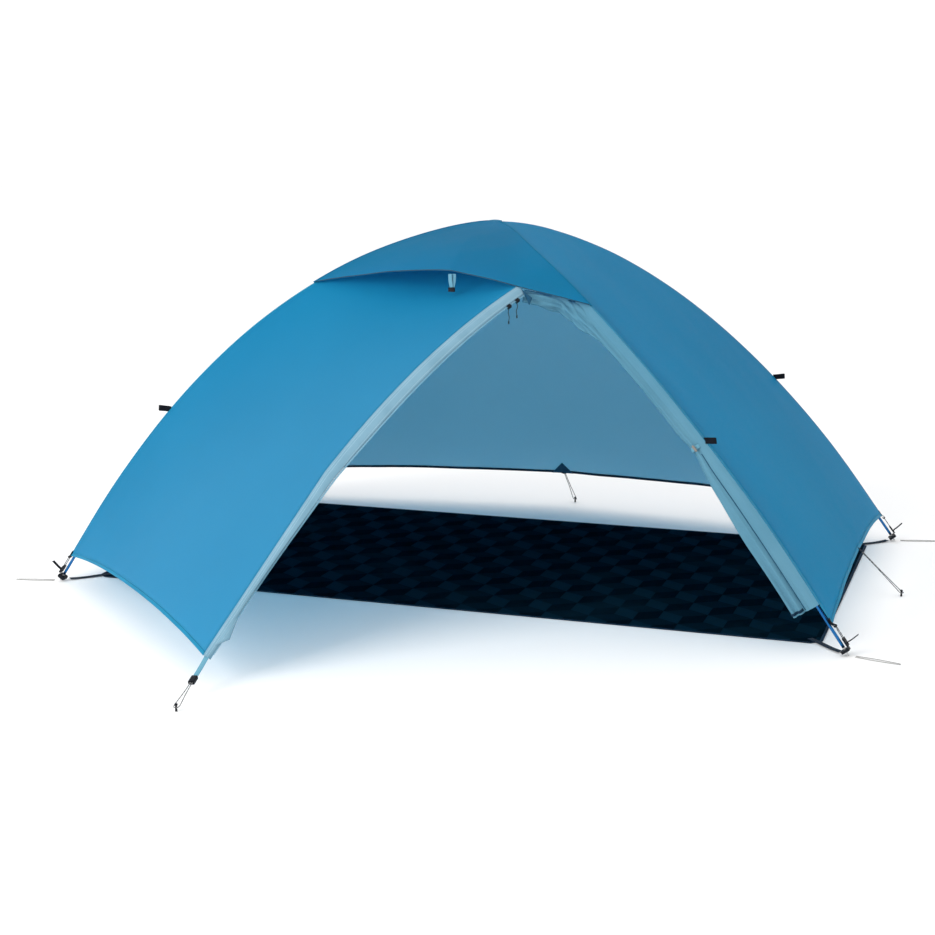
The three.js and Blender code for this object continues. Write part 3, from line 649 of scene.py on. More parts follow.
def grid_faces(rows, columns, start=0):
    faces = []
    for i in range(rows - 1):
        for j in range(columns - 1):
            a = start + i * columns + j
            faces.append((a, a + columns, a + columns + 1, a + 1))
    return faces


def grid_uvs(points):
    """Distances across and down a sheet, in metres."""
    rows, columns, _ = points.shape
    down = np.zeros((rows, columns))
    down[1:] = np.cumsum(np.linalg.norm(np.diff(points, axis=0), axis=2), axis=0)
    across = np.zeros((rows, columns))
    across[:, 1:] = np.cumsum(np.linalg.norm(np.diff(points, axis=1), axis=2), axis=1)
    return np.stack([across, down], axis=2).reshape(-1, 2)


def sheet_normals(points):
    down = np.gradient(points, axis=0)
    across = np.gradient(points, axis=1)
    normals = np.cross(down, across)
    return normals / np.maximum(np.linalg.norm(normals, axis=2, keepdims=True), 1e-9)


def thicken(made, thickness, offset=-1.0):
    """Gives a sheet its thickness. Its other side takes the next material, if there is one."""
    solid = made.modifiers.new("thickness", "SOLIDIFY")
    solid.thickness = thickness
    solid.offset = offset
    solid.material_offset = 1 if len(made.data.materials) > 1 else 0


def sheet_object(name, points, materials, thickness=FABRIC, offset=-1.0):
    rows, columns, _ = points.shape
    made = new_object(name, points.reshape(-1, 3), grid_faces(rows, columns), materials, grid_uvs(points))
    if thickness:
        thicken(made, thickness, offset)
    return made


def ring_object(name, rings, materials, closed_run=False):
    """A solid through rings of points. It ends in caps, or runs round into its own start."""
    rings = np.array(rings)
    count, around, _ = rings.shape
    run = level_of(rings.mean(1))
    girth = level_of(np.vstack([rings[0], rings[0][:1]]))[:-1]
    vertices = rings.reshape(-1, 3)
    uvs = np.array([(girth[j], run[i]) for i in range(count) for j in range(around)])
    faces = []
    for i in range(count if closed_run else count - 1):
        for j in range(around):
            a = i * around + j
            b = i * around + (j + 1) % around
            c = ((i + 1) % count) * around
            faces.append((a, b, c + (j + 1) % around, c + j))
    if not closed_run:
        faces.append(tuple(range(around)))
        faces.append(tuple(range((count - 1) * around, count * around)))
    made = new_object(name, vertices, faces, materials, uvs)
    outward(made)
    return made


def outward(made):
    work = bmesh.new()
    work.from_mesh(made.data)
    bmesh.ops.recalc_face_normals(work, faces=work.faces)
    work.to_mesh(made.data)
    work.free()


def joined(name, parts):
    """One object out of several, which keeps their materials."""
    bpy.ops.object.select_all(action="DESELECT")
    for part in parts:
        part.select_set(True)
    bpy.context.view_layer.objects.active = parts[0]
    bpy.ops.object.join()
    parts[0].name = name
    parts[0].data.name = name
    return parts[0]


def flat_section(width, thickness, corner_points=3):
    """The outline of a tape's section, with rounded edges."""
    radius = thickness / 2
    points = []
    for side in (1, -1):
        for turn in np.linspace(-math.pi / 2, math.pi / 2, corner_points + 2):
            angle = turn if side > 0 else turn + math.pi
            points.append((side * (width / 2 - radius) + radius * math.cos(angle), radius * math.sin(angle)))
    return points


def round_section(radius, sides=20):
    turns = [2 * math.pi * k / sides for k in range(sides)]
    return [(radius * math.cos(turn), radius * math.sin(turn)) for turn in turns]


def line_tangents(path, closed=False):
    if closed:
        return np.array([unit(path[(k + 1) % len(path)] - path[k - 1]) for k in range(len(path))])
    return np.array([unit(t) for t in np.gradient(path, axis=0)])


def sweep(name, path, side, section, materials, closed=False):
    """A section carried along a path. Side is the way of its width: one for all points, or one for each."""
    path = np.array(path, float)
    tangents = line_tangents(path, closed)
    sides = np.broadcast_to(np.array(side, float), path.shape)
    rings = []
    for point, tangent, aside in zip(path, tangents, sides):
        across = unit(aside - tangent * aside.dot(tangent))
        away = np.cross(tangent, across)
        rings.append([point + across * a + away * b for a, b in section])
    return ring_object(name, rings, materials, closed)


def lathe(name, origin, axis, profile, materials, sides=24):
    """A turned solid. Its profile is radii and heights from one end of its axis to the other."""
    axis = unit(np.array(axis, float))
    aside = unit(np.cross(axis, vec(0.31, 0.85, 0.42)))
    away = np.cross(axis, aside)
    rings = []
    for radius, height in profile:
        centre = np.array(origin) + axis * height
        turns = [2 * math.pi * k / sides for k in range(sides)]
        rings.append([centre + (aside * math.cos(t) + away * math.sin(t)) * max(radius, 1e-5) for t in turns])
    return ring_object(name, rings, materials)


def rounded_edges(made, width, segments=2):
    bevel = made.modifiers.new("edges", "BEVEL")
    bevel.width = width
    bevel.segments = segments
    bevel.limit_method = "ANGLE"
    return made


# ---------------------------------------------------------------- cords

def cord_object(name, points, diameter, material):
    data = bpy.data.curves.new(name, "CURVE")
    data.dimensions = "3D"
    data.bevel_depth = diameter / 2
    data.bevel_resolution = 3
    data.use_fill_caps = True
    spline = data.splines.new("POLY")
    spline.points.add(len(points) - 1)
    for target, point in zip(spline.points, points):
        target.co = (*point, 1)
    data.materials.append(material)
    made = bpy.data.objects.new(name, data)
    bpy.context.scene.collection.objects.link(made)
    return made


def guy_route(name):
    """From the tie-out down to the peg, round it, and back: two strands a few millimetres apart."""
    seat = placed(PEGS[name]) + UP * CORD_SEAT
    tie_out = placed(TIE_OUTS[name])
    out = seat - tie_out
    out[2] = 0
    out = unit(out)
    side = unit(np.cross(out, UP))
    wrap = PEG_RADIUS + GUY_DIAMETER / 2 + 0.0015
    top = 1 - 0.003 / np.linalg.norm(seat - tie_out)

    def strand(share, sideways):
        return seat + (tie_out - seat) * share + side * sideways

    points = [strand(top, -0.0022), strand(0.5, -0.0032), strand(0.12, -wrap)]
    for turn in (-0.5, -0.25, 0, 0.25, 0.5):
        angle = turn * math.pi
        points.append(seat + out * wrap * math.cos(angle) + side * wrap * math.sin(angle))
    points += [strand(0.12, wrap), strand(0.5, 0.0032), strand(top, 0.0022)]
    return smooth_line(points, 40)


def make_guys(finishes):
    for name in PEGS:
        route = guy_route(name)
        guy = cord_object(f"guy_line_{name}", route, GUY_DIAMETER, finishes["guy"])
        piece(guy, "tent", "guy_cord", f"guy_{name}")


def corner_cord_route(leg):
    """The doubled cord between a corner buckle and the flysheet's corner."""
    foot, up, level, outward_way = foot_frame(leg)
    start = 0.0525
    end = np.linalg.norm(foot - on_pole(leg, FLY_CORNER_REACH)) - 0.007
    standoff = 0.013

    def at(side, distance):
        return foot + up * distance + level * side + outward_way * standoff

    middle = (start + end) / 2
    corners = [(-0.006, start), (-0.006, middle), (-0.005, end - 0.005), (0, end)]
    corners += [(-side, distance) for side, distance in corners[-2::-1]]
    return smooth_line([at(side, distance) for side, distance in corners], 30)


def peg_loop_route(leg):
    """The thin elastic loop that lies on the ground beyond a corner."""
    foot = foot_frame(leg)[0]
    out = unit(vec(leg[0], leg[1] * 0.25, 0))
    side = np.cross(UP, out)
    height = ELASTIC_DIAMETER / 2 + 0.0001
    length = 0.12
    half = [(0.018, 0.004), (0.018 + length * 0.45, 0.007), (0.014 + length, 0.0035), (0.018 + length, 0)]
    stations = half + [(distance, -sideways) for distance, sideways in half[-2::-1]]
    points = [foot + out * distance + side * sideways for distance, sideways in stations]
    return smooth_line([vec(point[0], point[1], height) for point in points], 36)


def make_corner_cords(finishes):
    for corner, leg in LEGS.items():
        route = corner_cord_route(leg)
        cord = cord_object(f"corner_line_{corner}", route, GUY_DIAMETER, finishes["corner_cord"])
        piece(cord, "tent", "guy_cord", f"corner_cord_{corner}")
        route = peg_loop_route(leg)
        loop = cord_object(f"elastic_loop_{corner}", route, ELASTIC_DIAMETER, finishes["elastic"])
        piece(loop, f"loop_{corner}", "elastic_cord", f"peg_loop_{corner}")


# ---------------------------------------------------------------- the flysheet

ROWS = 97
REACHES = np.linspace(CROWN_REACH, FLY_CORNER_REACH, ROWS)
VESTIBULE_ROW = int(np.argmin(np.abs(REACHES - VESTIBULE_TOP_REACH)))
VENT_ROW = int(np.argmin(np.abs(REACHES - VENT_REACH)))
SIDEWAYS = vec(1, 0, 0)
BACKWARDS = vec(0, 1, 0)


def arch(across, power):
    return 1 - np.abs(2 * across - 1) ** power


def stretched_panel(left, right, columns, offset):
    """A panel between two edges, each given by its points from top to bottom."""
    across = np.linspace(0, 1, columns)[None, :, None]
    down = np.linspace(0, 1, len(left))[:, None, None]
    flat = left[:, None, :] * (1 - across) + right[:, None, :] * across
    return flat + offset(across, down)


def pull_lines(points, anchor, size, reach, count):
    """Faint creases that run out from a point of a panel that something pulls at."""
    centre = points[anchor]
    away = points - centre
    distance = np.linalg.norm(away, axis=2)
    normal = sheet_normals(points)[anchor]
    first = unit(np.cross(normal, UP))
    second = np.cross(normal, first)
    angle = np.arctan2(away @ second, away @ first)
    fade = np.exp(-distance / reach) * (1 - np.exp(-distance / 0.05))
    return size * np.sin(count * angle + 0.7 * np.sin(3 * angle)) * fade


def unevenness(points, size, seed):
    """Slow unevenness of cloth that isn't quite taut, longer down the panel than across it."""
    rows, columns, _ = points.shape
    uvs = grid_uvs(points).reshape(rows, columns, 2)
    waves = np.zeros((rows, columns))
    for i in range(rows):
        for j in range(columns):
            u, v = uvs[i, j]
            slow = noise.noise(Vector((u * 4.5, v * 1.8, seed)))
            quick = noise.noise(Vector((u * 13, v * 5, seed)))
            waves[i, j] = slow + 0.4 * quick
    return size * waves


def settled(points, sag, anchors, seed, crease=0.0022):
    """A panel as it hangs: slack inwards between its seams, uneven, and creased from where it is pulled."""
    rows, columns, _ = points.shape
    across = np.linspace(0, 1, columns)[None, :]
    down = np.linspace(0, 1, rows)[:, None]
    seams = np.clip(np.sin(math.pi * across) * 3.5, 0, 1)
    shift = -sag * np.sin(math.pi * across) * np.sin(math.pi * np.clip(down, 0, 1) ** 0.8)
    shift = shift + unevenness(points, 0.0035, seed) * seams
    for anchor in anchors:
        shift = shift + pull_lines(points, anchor, crease, 0.16, 11) * seams
    return points + sheet_normals(points) * shift[:, :, None]


def spanned_panel(left_leg, right_leg, way, out, rise, power, columns, sag, seed):
    """A panel between two poles. Its hem is raised between them, and pulled out by its guy line."""
    left = ridge_line(LEGS[left_leg], REACHES, RIDGE_LIFT)
    right = ridge_line(LEGS[right_leg], REACHES, RIDGE_LIFT)

    def offset(across, down):
        pulled = way * out * arch(across, 1.15) * down**2
        return pulled + UP * rise * arch(across, power) * down**2

    points = stretched_panel(left, right, columns, offset)
    anchors = [(ROWS - 1, 0), (ROWS - 1, columns - 1), (ROWS - 1, columns // 2)]
    return settled(points, sag, anchors, seed)


def vestibule_panel(columns):
    """From the back of the vent, under the brow, down between the left ridge and the zip."""
    left = ridge_line(LEGS["front_left"], REACHES[VENT_ROW:], RIDGE_LIFT)
    vent_rows = VESTIBULE_ROW - VENT_ROW
    vent_corner = ridge(LEGS["front_right"], REACHES[VENT_ROW], RIDGE_LIFT)
    vent_edge = [vent_corner + (on_zip(0) - vent_corner) * k / vent_rows for k in range(vent_rows)]
    zip_edge = [on_zip(share) for share in np.linspace(0, 1, len(left) - vent_rows)]
    right = np.array(vent_edge + zip_edge)
    row = np.arange(len(left))
    below = np.clip((row - vent_rows) / (len(left) - 1 - vent_rows), 0, 1)[:, None, None]
    above = np.clip((vent_rows - row) / vent_rows, 0, 1)[:, None, None]

    def offset(across, down):
        hem = 0.042 * arch(across, 2.2) * below**2
        vent = 0.036 * arch(across, 2) * (1 - below) ** 3 * (1 - above)
        return UP * (hem - vent)

    points = stretched_panel(left, right, columns, offset)
    anchors = [(len(left) - 1, 0), (len(left) - 1, columns - 1)]
    return settled(points, 0.006, anchors, 5.3)


def brow_panel(rows, columns):
    left = ridge_line(LEGS["front_left"], np.linspace(CROWN_REACH, BROW_LEFT_REACH, rows), BROW_LIFT)
    right = ridge_line(LEGS["front_right"], np.linspace(CROWN_REACH, BROW_RIGHT_REACH, rows), BROW_LIFT)
    rise = placed(BROW_PEAK) - (left[-1] + right[-1]) / 2

    def offset(across, down):
        propped = np.where(across < 0.5, arch(across, 1.6), arch(across, 1.05))
        return rise * propped * down**2

    points = stretched_panel(left, right, columns, offset)
    return settled(points, 0.002, [(rows - 1, 0), (rows - 1, columns - 1)], 8.1, 0.0012)


def make_panels():
    """The flysheet's panels by name. Each runs left to right as seen from outside."""
    end_columns = 41
    back_columns = 65
    return {
        "right": spanned_panel("front_right", "back_right", SIDEWAYS, -0.004, 0.045, 2.5,
                               end_columns, 0.007, 1.7),
        "back": spanned_panel("back_right", "back_left", BACKWARDS, 0.150, 0.045, 4,
                              back_columns, 0.010, 2.9),
        "left": spanned_panel("back_left", "front_left", -SIDEWAYS, -0.004, 0.045, 2.5,
                              end_columns, 0.007, 4.1),
        "vestibule": vestibule_panel(73),
    }


def make_shell(panels, finishes):
    """The flysheet as one continuous cloth: its panels share their vertices along the seams."""
    vertices, faces, uvs = [], [], []
    for points in panels.values():
        rows, columns, _ = points.shape
        faces += grid_faces(rows, columns, len(vertices))
        vertices += list(points.reshape(-1, 3))
        uvs += list(grid_uvs(points))
    shell = new_object("fly_shell", vertices, faces, [finishes["fly"], finishes["inside"]], uvs)
    work = bmesh.new()
    work.from_mesh(shell.data)
    bmesh.ops.remove_doubles(work, verts=work.verts, dist=0.0002)
    work.to_mesh(shell.data)
    work.free()
    thicken(shell, FABRIC)
    nodes = ("fly_back_panel", "fly_right_end_panel", "fly_left_end_panel", "fly_vestibule_panel")
    piece(shell, "tent", "fly_fabric", *nodes)


def make_brow(finishes):
    points = brow_panel(41, 81)
    brow = sheet_object("brow_hood", points, [finishes["fly"]])
    piece(brow, "tent", "fly_fabric", "fly_brow")
    return points


def seam_strip(name, middle, left_side, right_side, half_width, lift, finishes):
    """A felled seam over a ridge: it follows the panel on each side of it."""
    rows = []
    for point, left, right in zip(middle, left_side, right_side):
        left_way = unit(left - point)
        right_way = unit(right - point)
        away = unit(np.cross(np.cross(left_way, right_way), right_way - left_way))
        away = away if away.dot(point - CROWN) > 0 else -away
        row = []
        for share in np.linspace(-1, 1, 7):
            way = left_way if share < 0 else right_way
            height = lift * (1 - 0.75 * abs(share) ** 3)
            row.append(point + way * abs(share) * half_width + away * height)
        rows.append(row)
    strip = sheet_object(name, np.array(rows), [finishes["seam"]], 0.0004)
    return piece(strip, "tent", "fly_fabric")


def make_brow_seams(brow, panels, finishes):
    """The hood is sewn down to the end panels along both front ridges, so no daylight shows between them."""
    sides = {
        "left": (brow[:, 0], brow[:, 3], panels["left"][:, -1], panels["left"][:, -3], BROW_LEFT_REACH),
        "right": (brow[:, -1], brow[:, -4], panels["right"][:, 0], panels["right"][:, 2], BROW_RIGHT_REACH),
    }
    for name, (edge, hood_side, ridge_side, panel_side, last) in sides.items():
        reaches = np.linspace(CROWN_REACH, last, len(edge))
        ridges = along_line(reaches, REACHES, ridge_side)
        inner = along_line(reaches, REACHES, panel_side)
        rows = []
        for top, hood, low, panel in zip(edge, hood_side, ridges, inner):
            lift = unit(top - low)
            hood_way = unit(hood - top)
            panel_way = unit(panel - low)
            rows.append([
                top + hood_way * BROW_SEAM_WIDTH + lift * SEAM_PROUD * 0.4,
                top + lift * SEAM_PROUD,
                low + panel_way * 0.002 + lift * SEAM_PROUD,
                low + panel_way * BROW_SEAM_WIDTH + lift * SEAM_PROUD * 0.4,
            ])
        strip = sheet_object(f"brow_seam_{name}", np.array(rows), [finishes["fly"]], 0.0004)
        piece(strip, "tent", "fly_fabric")


def along_line(places, known, line):
    """A line's points at given places, from the places where its points are known."""
    return np.stack([np.interp(places, known, line[:, axis]) for axis in range(3)], axis=-1)


def resampled(lines, count):
    """Several lines with matching points, all sampled more closely at the same shares."""
    shares = np.linspace(0, len(lines[0]) - 1, count)
    whole = np.arange(len(lines[0]))
    return [along_line(shares, whole, line) for line in lines]


def make_ridge_seams(panels, finishes):
    neighbours = {
        "back_right": (panels["right"][:, -1], panels["right"][:, -3], panels["back"][:, 2]),
        "back_left": (panels["back"][:, -1], panels["back"][:, -3], panels["left"][:, 2]),
        "front_left": (panels["left"][:, -1][VENT_ROW:], panels["left"][:, -3][VENT_ROW:],
                       panels["vestibule"][:, 2]),
    }
    for corner, (middle, left, right) in neighbours.items():
        middle, left, right = resampled([middle[2:], left[2:], right[2:]], 160)
        seam_strip(f"fly_seam_{corner}", middle, left, right, 0.006, 0.0012, finishes)


def edge_fold(name, edge, inward, outward_way, width, gap, material):
    """A strip along an edge of a sheet, folded round it: some of it outside, some inside."""
    rows = []
    for point, way, away in zip(edge, inward, outward_way):
        row = [
            point + way * width + away * gap,
            point + way * width * 0.5 + away * (gap + 0.0002),
            point + way * 0.001 + away * gap,
            point - way * 0.0008,
            point + way * 0.001 - away * (gap + FABRIC),
            point + way * width * 0.5 - away * (gap + FABRIC + 0.0002),
            point + way * width - away * (gap + FABRIC),
        ]
        rows.append(row)
    return sheet_object(name, np.array(rows), [material], 0.0004, 1.0)


def hem_lines(points, count=200):
    edge = points[-1]
    above = points[-2]
    normals = sheet_normals(points)[-1]
    edge, above, normals = resampled([edge, above, normals], count)
    inward = np.array([unit(way) for way in above - edge])
    return edge, inward, np.array([unit(n) for n in normals])


def make_hems(panels, brow_points, finishes):
    for name, points in panels.items():
        edge, inward, away = hem_lines(points)
        binding = edge_fold(f"hem_{name}", edge, inward, away, 0.010, 0.0006, finishes["hem"][0])
        binding.data.materials.append(finishes["hem"][1])
        colour_inside(binding)
        piece(binding, "tent", "fly_fabric")
    edge, inward, away = hem_lines(brow_points)
    binding = edge_fold("hem_brow", edge, inward, away, 0.005, 0.0003, finishes["patch"])
    piece(binding, "tent", "fly_fabric")


def colour_inside(binding):
    """The half of a folded hem that faces inside is navy tape."""
    columns = 6
    for polygon in binding.data.polygons:
        polygon.material_index = 1 if polygon.index % columns >= 3 else 0
    for modifier in binding.modifiers:
        modifier.material_offset = 0


def make_front_ridge_edge(panels, finishes):
    """The right end panel's front edge, over the right front pole, bound with a fold in the blue seam finish.
    """
    edge = panels["right"][:, 0]
    beside = panels["right"][:, 1]
    normals = sheet_normals(panels["right"])[:, 0]
    edge, beside, normals = resampled([edge, beside, normals], 220)
    inward = np.array([unit(way) for way in beside - edge])
    away = np.array([unit(n) for n in normals])
    fold = edge_fold("front_edge_binding", edge, inward, away, 0.011, 0.0006, finishes["seam"])
    piece(fold, "tent", "fly_fabric")


def make_crown_patch(finishes):
    low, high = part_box("fly_crown_patch")
    radius = (high.x - low.x) * 0.28
    sides = 48
    rings = 8
    top = high.z - 0.0012
    vertices = [(CROWN[0], CROWN[1], top)]
    uvs = [(0.0, 0.0)]
    for ring in range(1, rings + 1):
        share = ring / rings
        for k in range(sides):
            turn = 2 * math.pi * k / sides
            ridge_lift = 0.0011 * math.cos(4 * (turn - 0.5)) * share
            height = top - 0.0040 * share**1.6 + ridge_lift
            reach = radius * share
            vertices.append((CROWN[0] + reach * math.cos(turn), CROWN[1] + reach * math.sin(turn), height))
            uvs.append((radius * (1 - share), turn * radius))
    faces = [(0, 1 + k, 1 + (k + 1) % sides) for k in range(sides)]
    for ring in range(rings - 1):
        start = 1 + ring * sides
        for k in range(sides):
            after = (k + 1) % sides
            faces.append((start + k, start + sides + k, start + sides + after, start + after))
    patch = new_object("crown_patch", vertices, faces, [finishes["seam"]], uvs)
    thicken(patch, 0.0012)
    piece(patch, "tent", "fly_fabric", "fly_crown_patch")


# ---------------------------------------------------------------- zip, its flap and pulls

def flap_width(share):
    """The band is folded narrower towards the tip."""
    return FLAP_WIDTH * (1 - 0.48 * float(smoothstep(share, 0.42, 0.86)))


def make_zip_flap(finishes):
    """The pale folded band beside the zip, with two rows of stitching, and the zip's own tape and teeth."""
    shares = np.linspace(0, 1, 200)
    rows = []
    for share in shares:
        away = np.cross(zip_tangent(share), across_door(share))
        twist = 0.0025 * math.sin(9 * share + 0.6) * float(smoothstep(share, 0.25, 0.5))
        row = []
        for place in np.linspace(0.013, 0.955, 9):
            bow = 0.0035 * math.sin(math.pi * place)
            bow += 0.0012 * noise.noise(Vector((share * 22, place * 2, 3.3)))
            row.append(beside_zip(share, place * flap_width(share)) + away * (bow + twist * place))
        rows.append(row)
    flap = sheet_object("zip_band", np.array(rows), [finishes["pale_seam"]], 0.0009, 0.0)
    piece(flap, "tent", "light_fabric", "zip_flap")
    edge = [beside_zip(share, flap_width(share) + 0.0006) for share in shares]
    side = [across_door(share) for share in shares]
    tape = sweep("zip_tape", edge, side, flat_section(0.003, 0.0006), [finishes["pale_seam"]])
    piece(tape, "tent", "light_fabric")
    make_teeth(finishes)


def make_band_tip(finishes):
    """The band's lower end, folded over into a small triangle beside the vestibule's tip."""
    start = beside_zip(0.86, 0.4 * flap_width(0.86))
    inner = beside_zip(0.985, 0.2 * flap_width(1))
    outer = beside_zip(0.95, 1.75 * flap_width(1))
    lift = np.cross(zip_tangent(0.95), across_door(0.95)) * 0.004
    rows = []
    for down in np.linspace(0.04, 1, 14):
        left = start + (inner - start) * down
        right = start + (outer - start) * down
        shares = np.linspace(0, 1, 9)
        rows.append([left + (right - left) * share + lift * math.sin(math.pi * share) for share in shares])
    tip = sheet_object("band_tip", np.array(rows), [finishes["pale_seam"]], 0.0007, 0.0)
    piece(tip, "tent", "light_fabric")


def make_zip_cover(finishes):
    """A small flap of the fly's cloth that hangs over the zip's top."""
    front = vec(0, -0.008, 0)
    left = beside_zip(0, 0.022) + UP * 0.006 + front
    right = beside_zip(0, 0.064) + UP * 0.001 + front
    point = beside_zip(0, 0.052) - UP * 0.025 + front * 0.7
    rows = []
    for down in np.linspace(0, 0.96, 9):
        edges = (left + (point - left) * down, right + (point - right) * down)
        across = np.linspace(0, 1, 9)
        rows.append([edges[0] + (edges[1] - edges[0]) * share + front * 0.3 * math.sin(math.pi * share)
                     for share in across])
    cover = sheet_object("zip_cover", np.array(rows), [finishes["patch"]], 0.0006)
    piece(cover, "tent", "fly_fabric")


def make_teeth(finishes):
    pitch = 0.0021
    length = level_of(ZIP_LINE)[-1]
    vertices, faces = [], []
    corners = [(a, b, c) for a in (-1, 1) for b in (-1, 1) for c in (-1, 1)]
    box_faces = [(0, 1, 3, 2), (4, 6, 7, 5), (0, 4, 5, 1), (2, 3, 7, 6), (0, 2, 6, 4), (1, 5, 7, 3)]
    for share in np.arange(0.01, 0.99, pitch / length):
        along = zip_tangent(share)
        across = across_door(share)
        away = np.cross(along, across)
        centre = beside_zip(share, flap_width(share) + 0.0026)
        start = len(vertices)
        for a, b, c in corners:
            taper = 0.75 if b > 0 else 1.0
            vertices.append(centre + across * a * 0.0013 + away * b * 0.0011 + along * c * 0.0006 * taper)
        faces += [tuple(start + k for k in face) for face in box_faces]
    teeth = new_object("zip_teeth", vertices, faces, [finishes["zip"]], smooth=False)
    outward(teeth)
    piece(teeth, "tent", "black_plastic", "zip_coil")


def make_pulls(finishes):
    """A knotted cord on each slider."""
    for level in ("upper", "lower"):
        low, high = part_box(f"zip_pull_{level}")
        x = (low.x + high.x) / 2
        y = (low.y + high.y) / 2
        lean = 0.0015 if level == "upper" else -0.0012
        points = [(x, y, high.z - 0.0005), (x + lean, y, high.z - 0.010), (x - lean, y, high.z - 0.022),
                  (x, y, high.z - 0.034)]
        route = smooth_line(points, 18)
        profile = [(0.0004, 0.0), (0.0016, 0.0003), (0.0021, 0.0018), (0.0016, 0.0032), (0.0019, 0.0045),
                   (0.0024, 0.0062), (0.0019, 0.0080), (0.0008, 0.0088)]
        knot = lathe(f"pull_knot_{level}", (x, y, low.z), UP, profile, [finishes["pull_cord"]])
        piece(knot, f"{level}_pull", "black_plastic")
        cord = cord_object(f"pull_cord_{level}", route, PULL_DIAMETER, finishes["pull_cord"])
        piece(cord, f"{level}_pull", "black_plastic", f"zip_pull_{level}")


def make_strut(finishes):
    """The prop under the brow: a pale sleeve folded into two legs, and a moulded end."""
    low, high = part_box("vent_strut")
    x = (low.x + high.x) / 2
    y = (low.y + high.y) / 2
    bottom = low.z
    half_way = (high.z + bottom) / 2
    front = [(x - 0.004, y - 0.001, high.z), (x - 0.003, y - 0.002, half_way), (x, y - 0.001, bottom)]
    back = [(x + 0.007, y + 0.004, high.z), (x + 0.006, y + 0.003, half_way), (x + 0.003, y + 0.001, bottom)]
    section = flat_section(0.011, 0.0012)
    legs = [sweep("strut_leg", smooth_line(path, 16), SIDEWAYS, section, [finishes["pale_webbing"]])
            for path in (front, back)]
    sleeve = joined("strut_sleeve", legs)
    piece(sleeve, "vent_strut", "light_fabric", "vent_strut")


# ---------------------------------------------------------------- the rolled door

def roll_half_size(reach):
    fan = smoothstep(reach, ROLL_TIE_REACH, ROLL_HEM_REACH - 0.1)
    pinch = (ROLL_RADIUS - TIE_RADIUS) * math.exp(-(((reach - ROLL_TIE_REACH) / TIE_PINCH) ** 2))
    slim = 1 - 0.22 * float(smoothstep(ROLL_TIE_REACH - reach, 0, 0.06))
    wide = (ROLL_RADIUS - pinch) * slim + (FAN_WIDE - ROLL_RADIUS) * fan
    thick = (ROLL_RADIUS - pinch) * slim + (FAN_THICK - ROLL_RADIUS) * fan
    return wide, thick


def roll_frame(reach):
    """The roll's middle, and the directions down the leg, towards the front, and towards the pole."""
    leg = LEGS["front_right"]
    along = -up_leg(leg, reach)
    facing = vec(0, -1, 0)
    facing = unit(facing - along * facing.dot(along))
    wide = np.cross(facing, along)
    inward = POLE_RADIUS + ROLL_CLEARANCE + roll_half_size(reach)[0]
    return on_pole(leg, reach) - wide * inward, along, facing, wide


def door_width(share):
    """How wide the door panel is at a share of its height: a triangle, with its point at the top."""
    return DOOR_POINT + (DOOR_WIDTH - DOOR_POINT) * share


def roll_point(reach, radius, turn):
    """Places in the roll. Its round section is gathered at the top, and flat and pleated where it opens."""
    share = (reach - ROLL_TOP_REACH) / (ROLL_HEM_REACH - ROLL_TOP_REACH)
    centre, _, facing, wide = roll_frame(reach)
    half_wide, half_thick = roll_half_size(reach)
    opening = float(smoothstep(reach, ROLL_TIE_REACH + 0.02, ROLL_HEM_REACH))
    radius = np.asarray(radius)
    gather = 0.10 * math.exp(-share / 0.2) * np.sin(4 * turn + 60 * share)
    from_fold = np.angle(np.exp(1j * (np.asarray(turn) - 1.25)))
    fold = -0.42 * np.exp(-((from_fold / 0.16) ** 2)) * (radius / ROLL_RADIUS) ** 8
    crease = 1 + gather + fold + 0.07 * np.sin(3 * turn + 9 * share) + 0.045 * np.sin(5 * turn - 14 * share)
    a = radius * np.cos(turn) / ROLL_RADIUS
    b = radius * np.sin(turn) / ROLL_RADIUS
    pleat = opening * 0.0060 * np.sin(8.5 * a + 2.5 * share)
    x = np.asarray(a * half_wide * crease)[..., None]
    y = np.asarray(b * half_thick * crease + pleat)[..., None]
    return centre + x * wide + y * facing


def make_door_roll(finishes):
    """The door panel: sewn to the front edge, laid across the pole, then rolled. It opens below its tie."""
    turn_steps = 32
    pitch = 0.00066
    rows = 120
    strip_steps = 6
    start_turn = 0.75
    most_turns = int(0.95 * ROLL_RADIUS / pitch)
    columns = strip_steps + most_turns * turn_steps + 1
    turns = 2 * math.pi * np.arange(columns - strip_steps) / turn_steps
    radii = np.maximum(ROLL_RADIUS - pitch * turns / (2 * math.pi), 0.0004)
    points = np.zeros((rows, columns, 3))
    used = np.zeros((rows, columns))
    for i in range(rows):
        share = i / (rows - 1)
        reach = ROLL_TOP_REACH + (ROLL_HEM_REACH - ROLL_TOP_REACH) * share
        seam = ridge(LEGS["front_right"], reach, RIDGE_LIFT - 0.0012)
        landing = roll_point(reach, ROLL_RADIUS, start_turn)
        over_pole = (seam + landing) / 2 + roll_frame(reach)[2] * (0.004 + 0.002 * math.sin(20 * share))
        for j in range(strip_steps):
            t = j / strip_steps
            points[i, j] = seam * (1 - t) ** 2 + over_pole * 2 * t * (1 - t) + landing * t**2
        points[i, strip_steps:] = roll_point(reach, radii, start_turn + turns)
        steps = np.linalg.norm(np.diff(points[i], axis=0), axis=1)
        used[i, 1:] = np.cumsum(steps)
        used[i] /= door_width(share)
    flat_used = used.reshape(-1)
    kept = [face for face in grid_faces(rows, columns) if flat_used[face[2]] <= 1.0]
    everywhere = points.reshape(-1, 3)
    uvs = grid_uvs(points)
    names = sorted({corner for face in kept for corner in face})
    renamed = {old: new for new, old in enumerate(names)}
    faces = [tuple(renamed[corner] for corner in face) for face in kept]
    roll = new_object("rolled_door", everywhere[names], faces, [finishes["door"]], uvs[names])
    piece(roll, "tent", "light_fabric", "door_roll")
    make_door_edges(finishes)


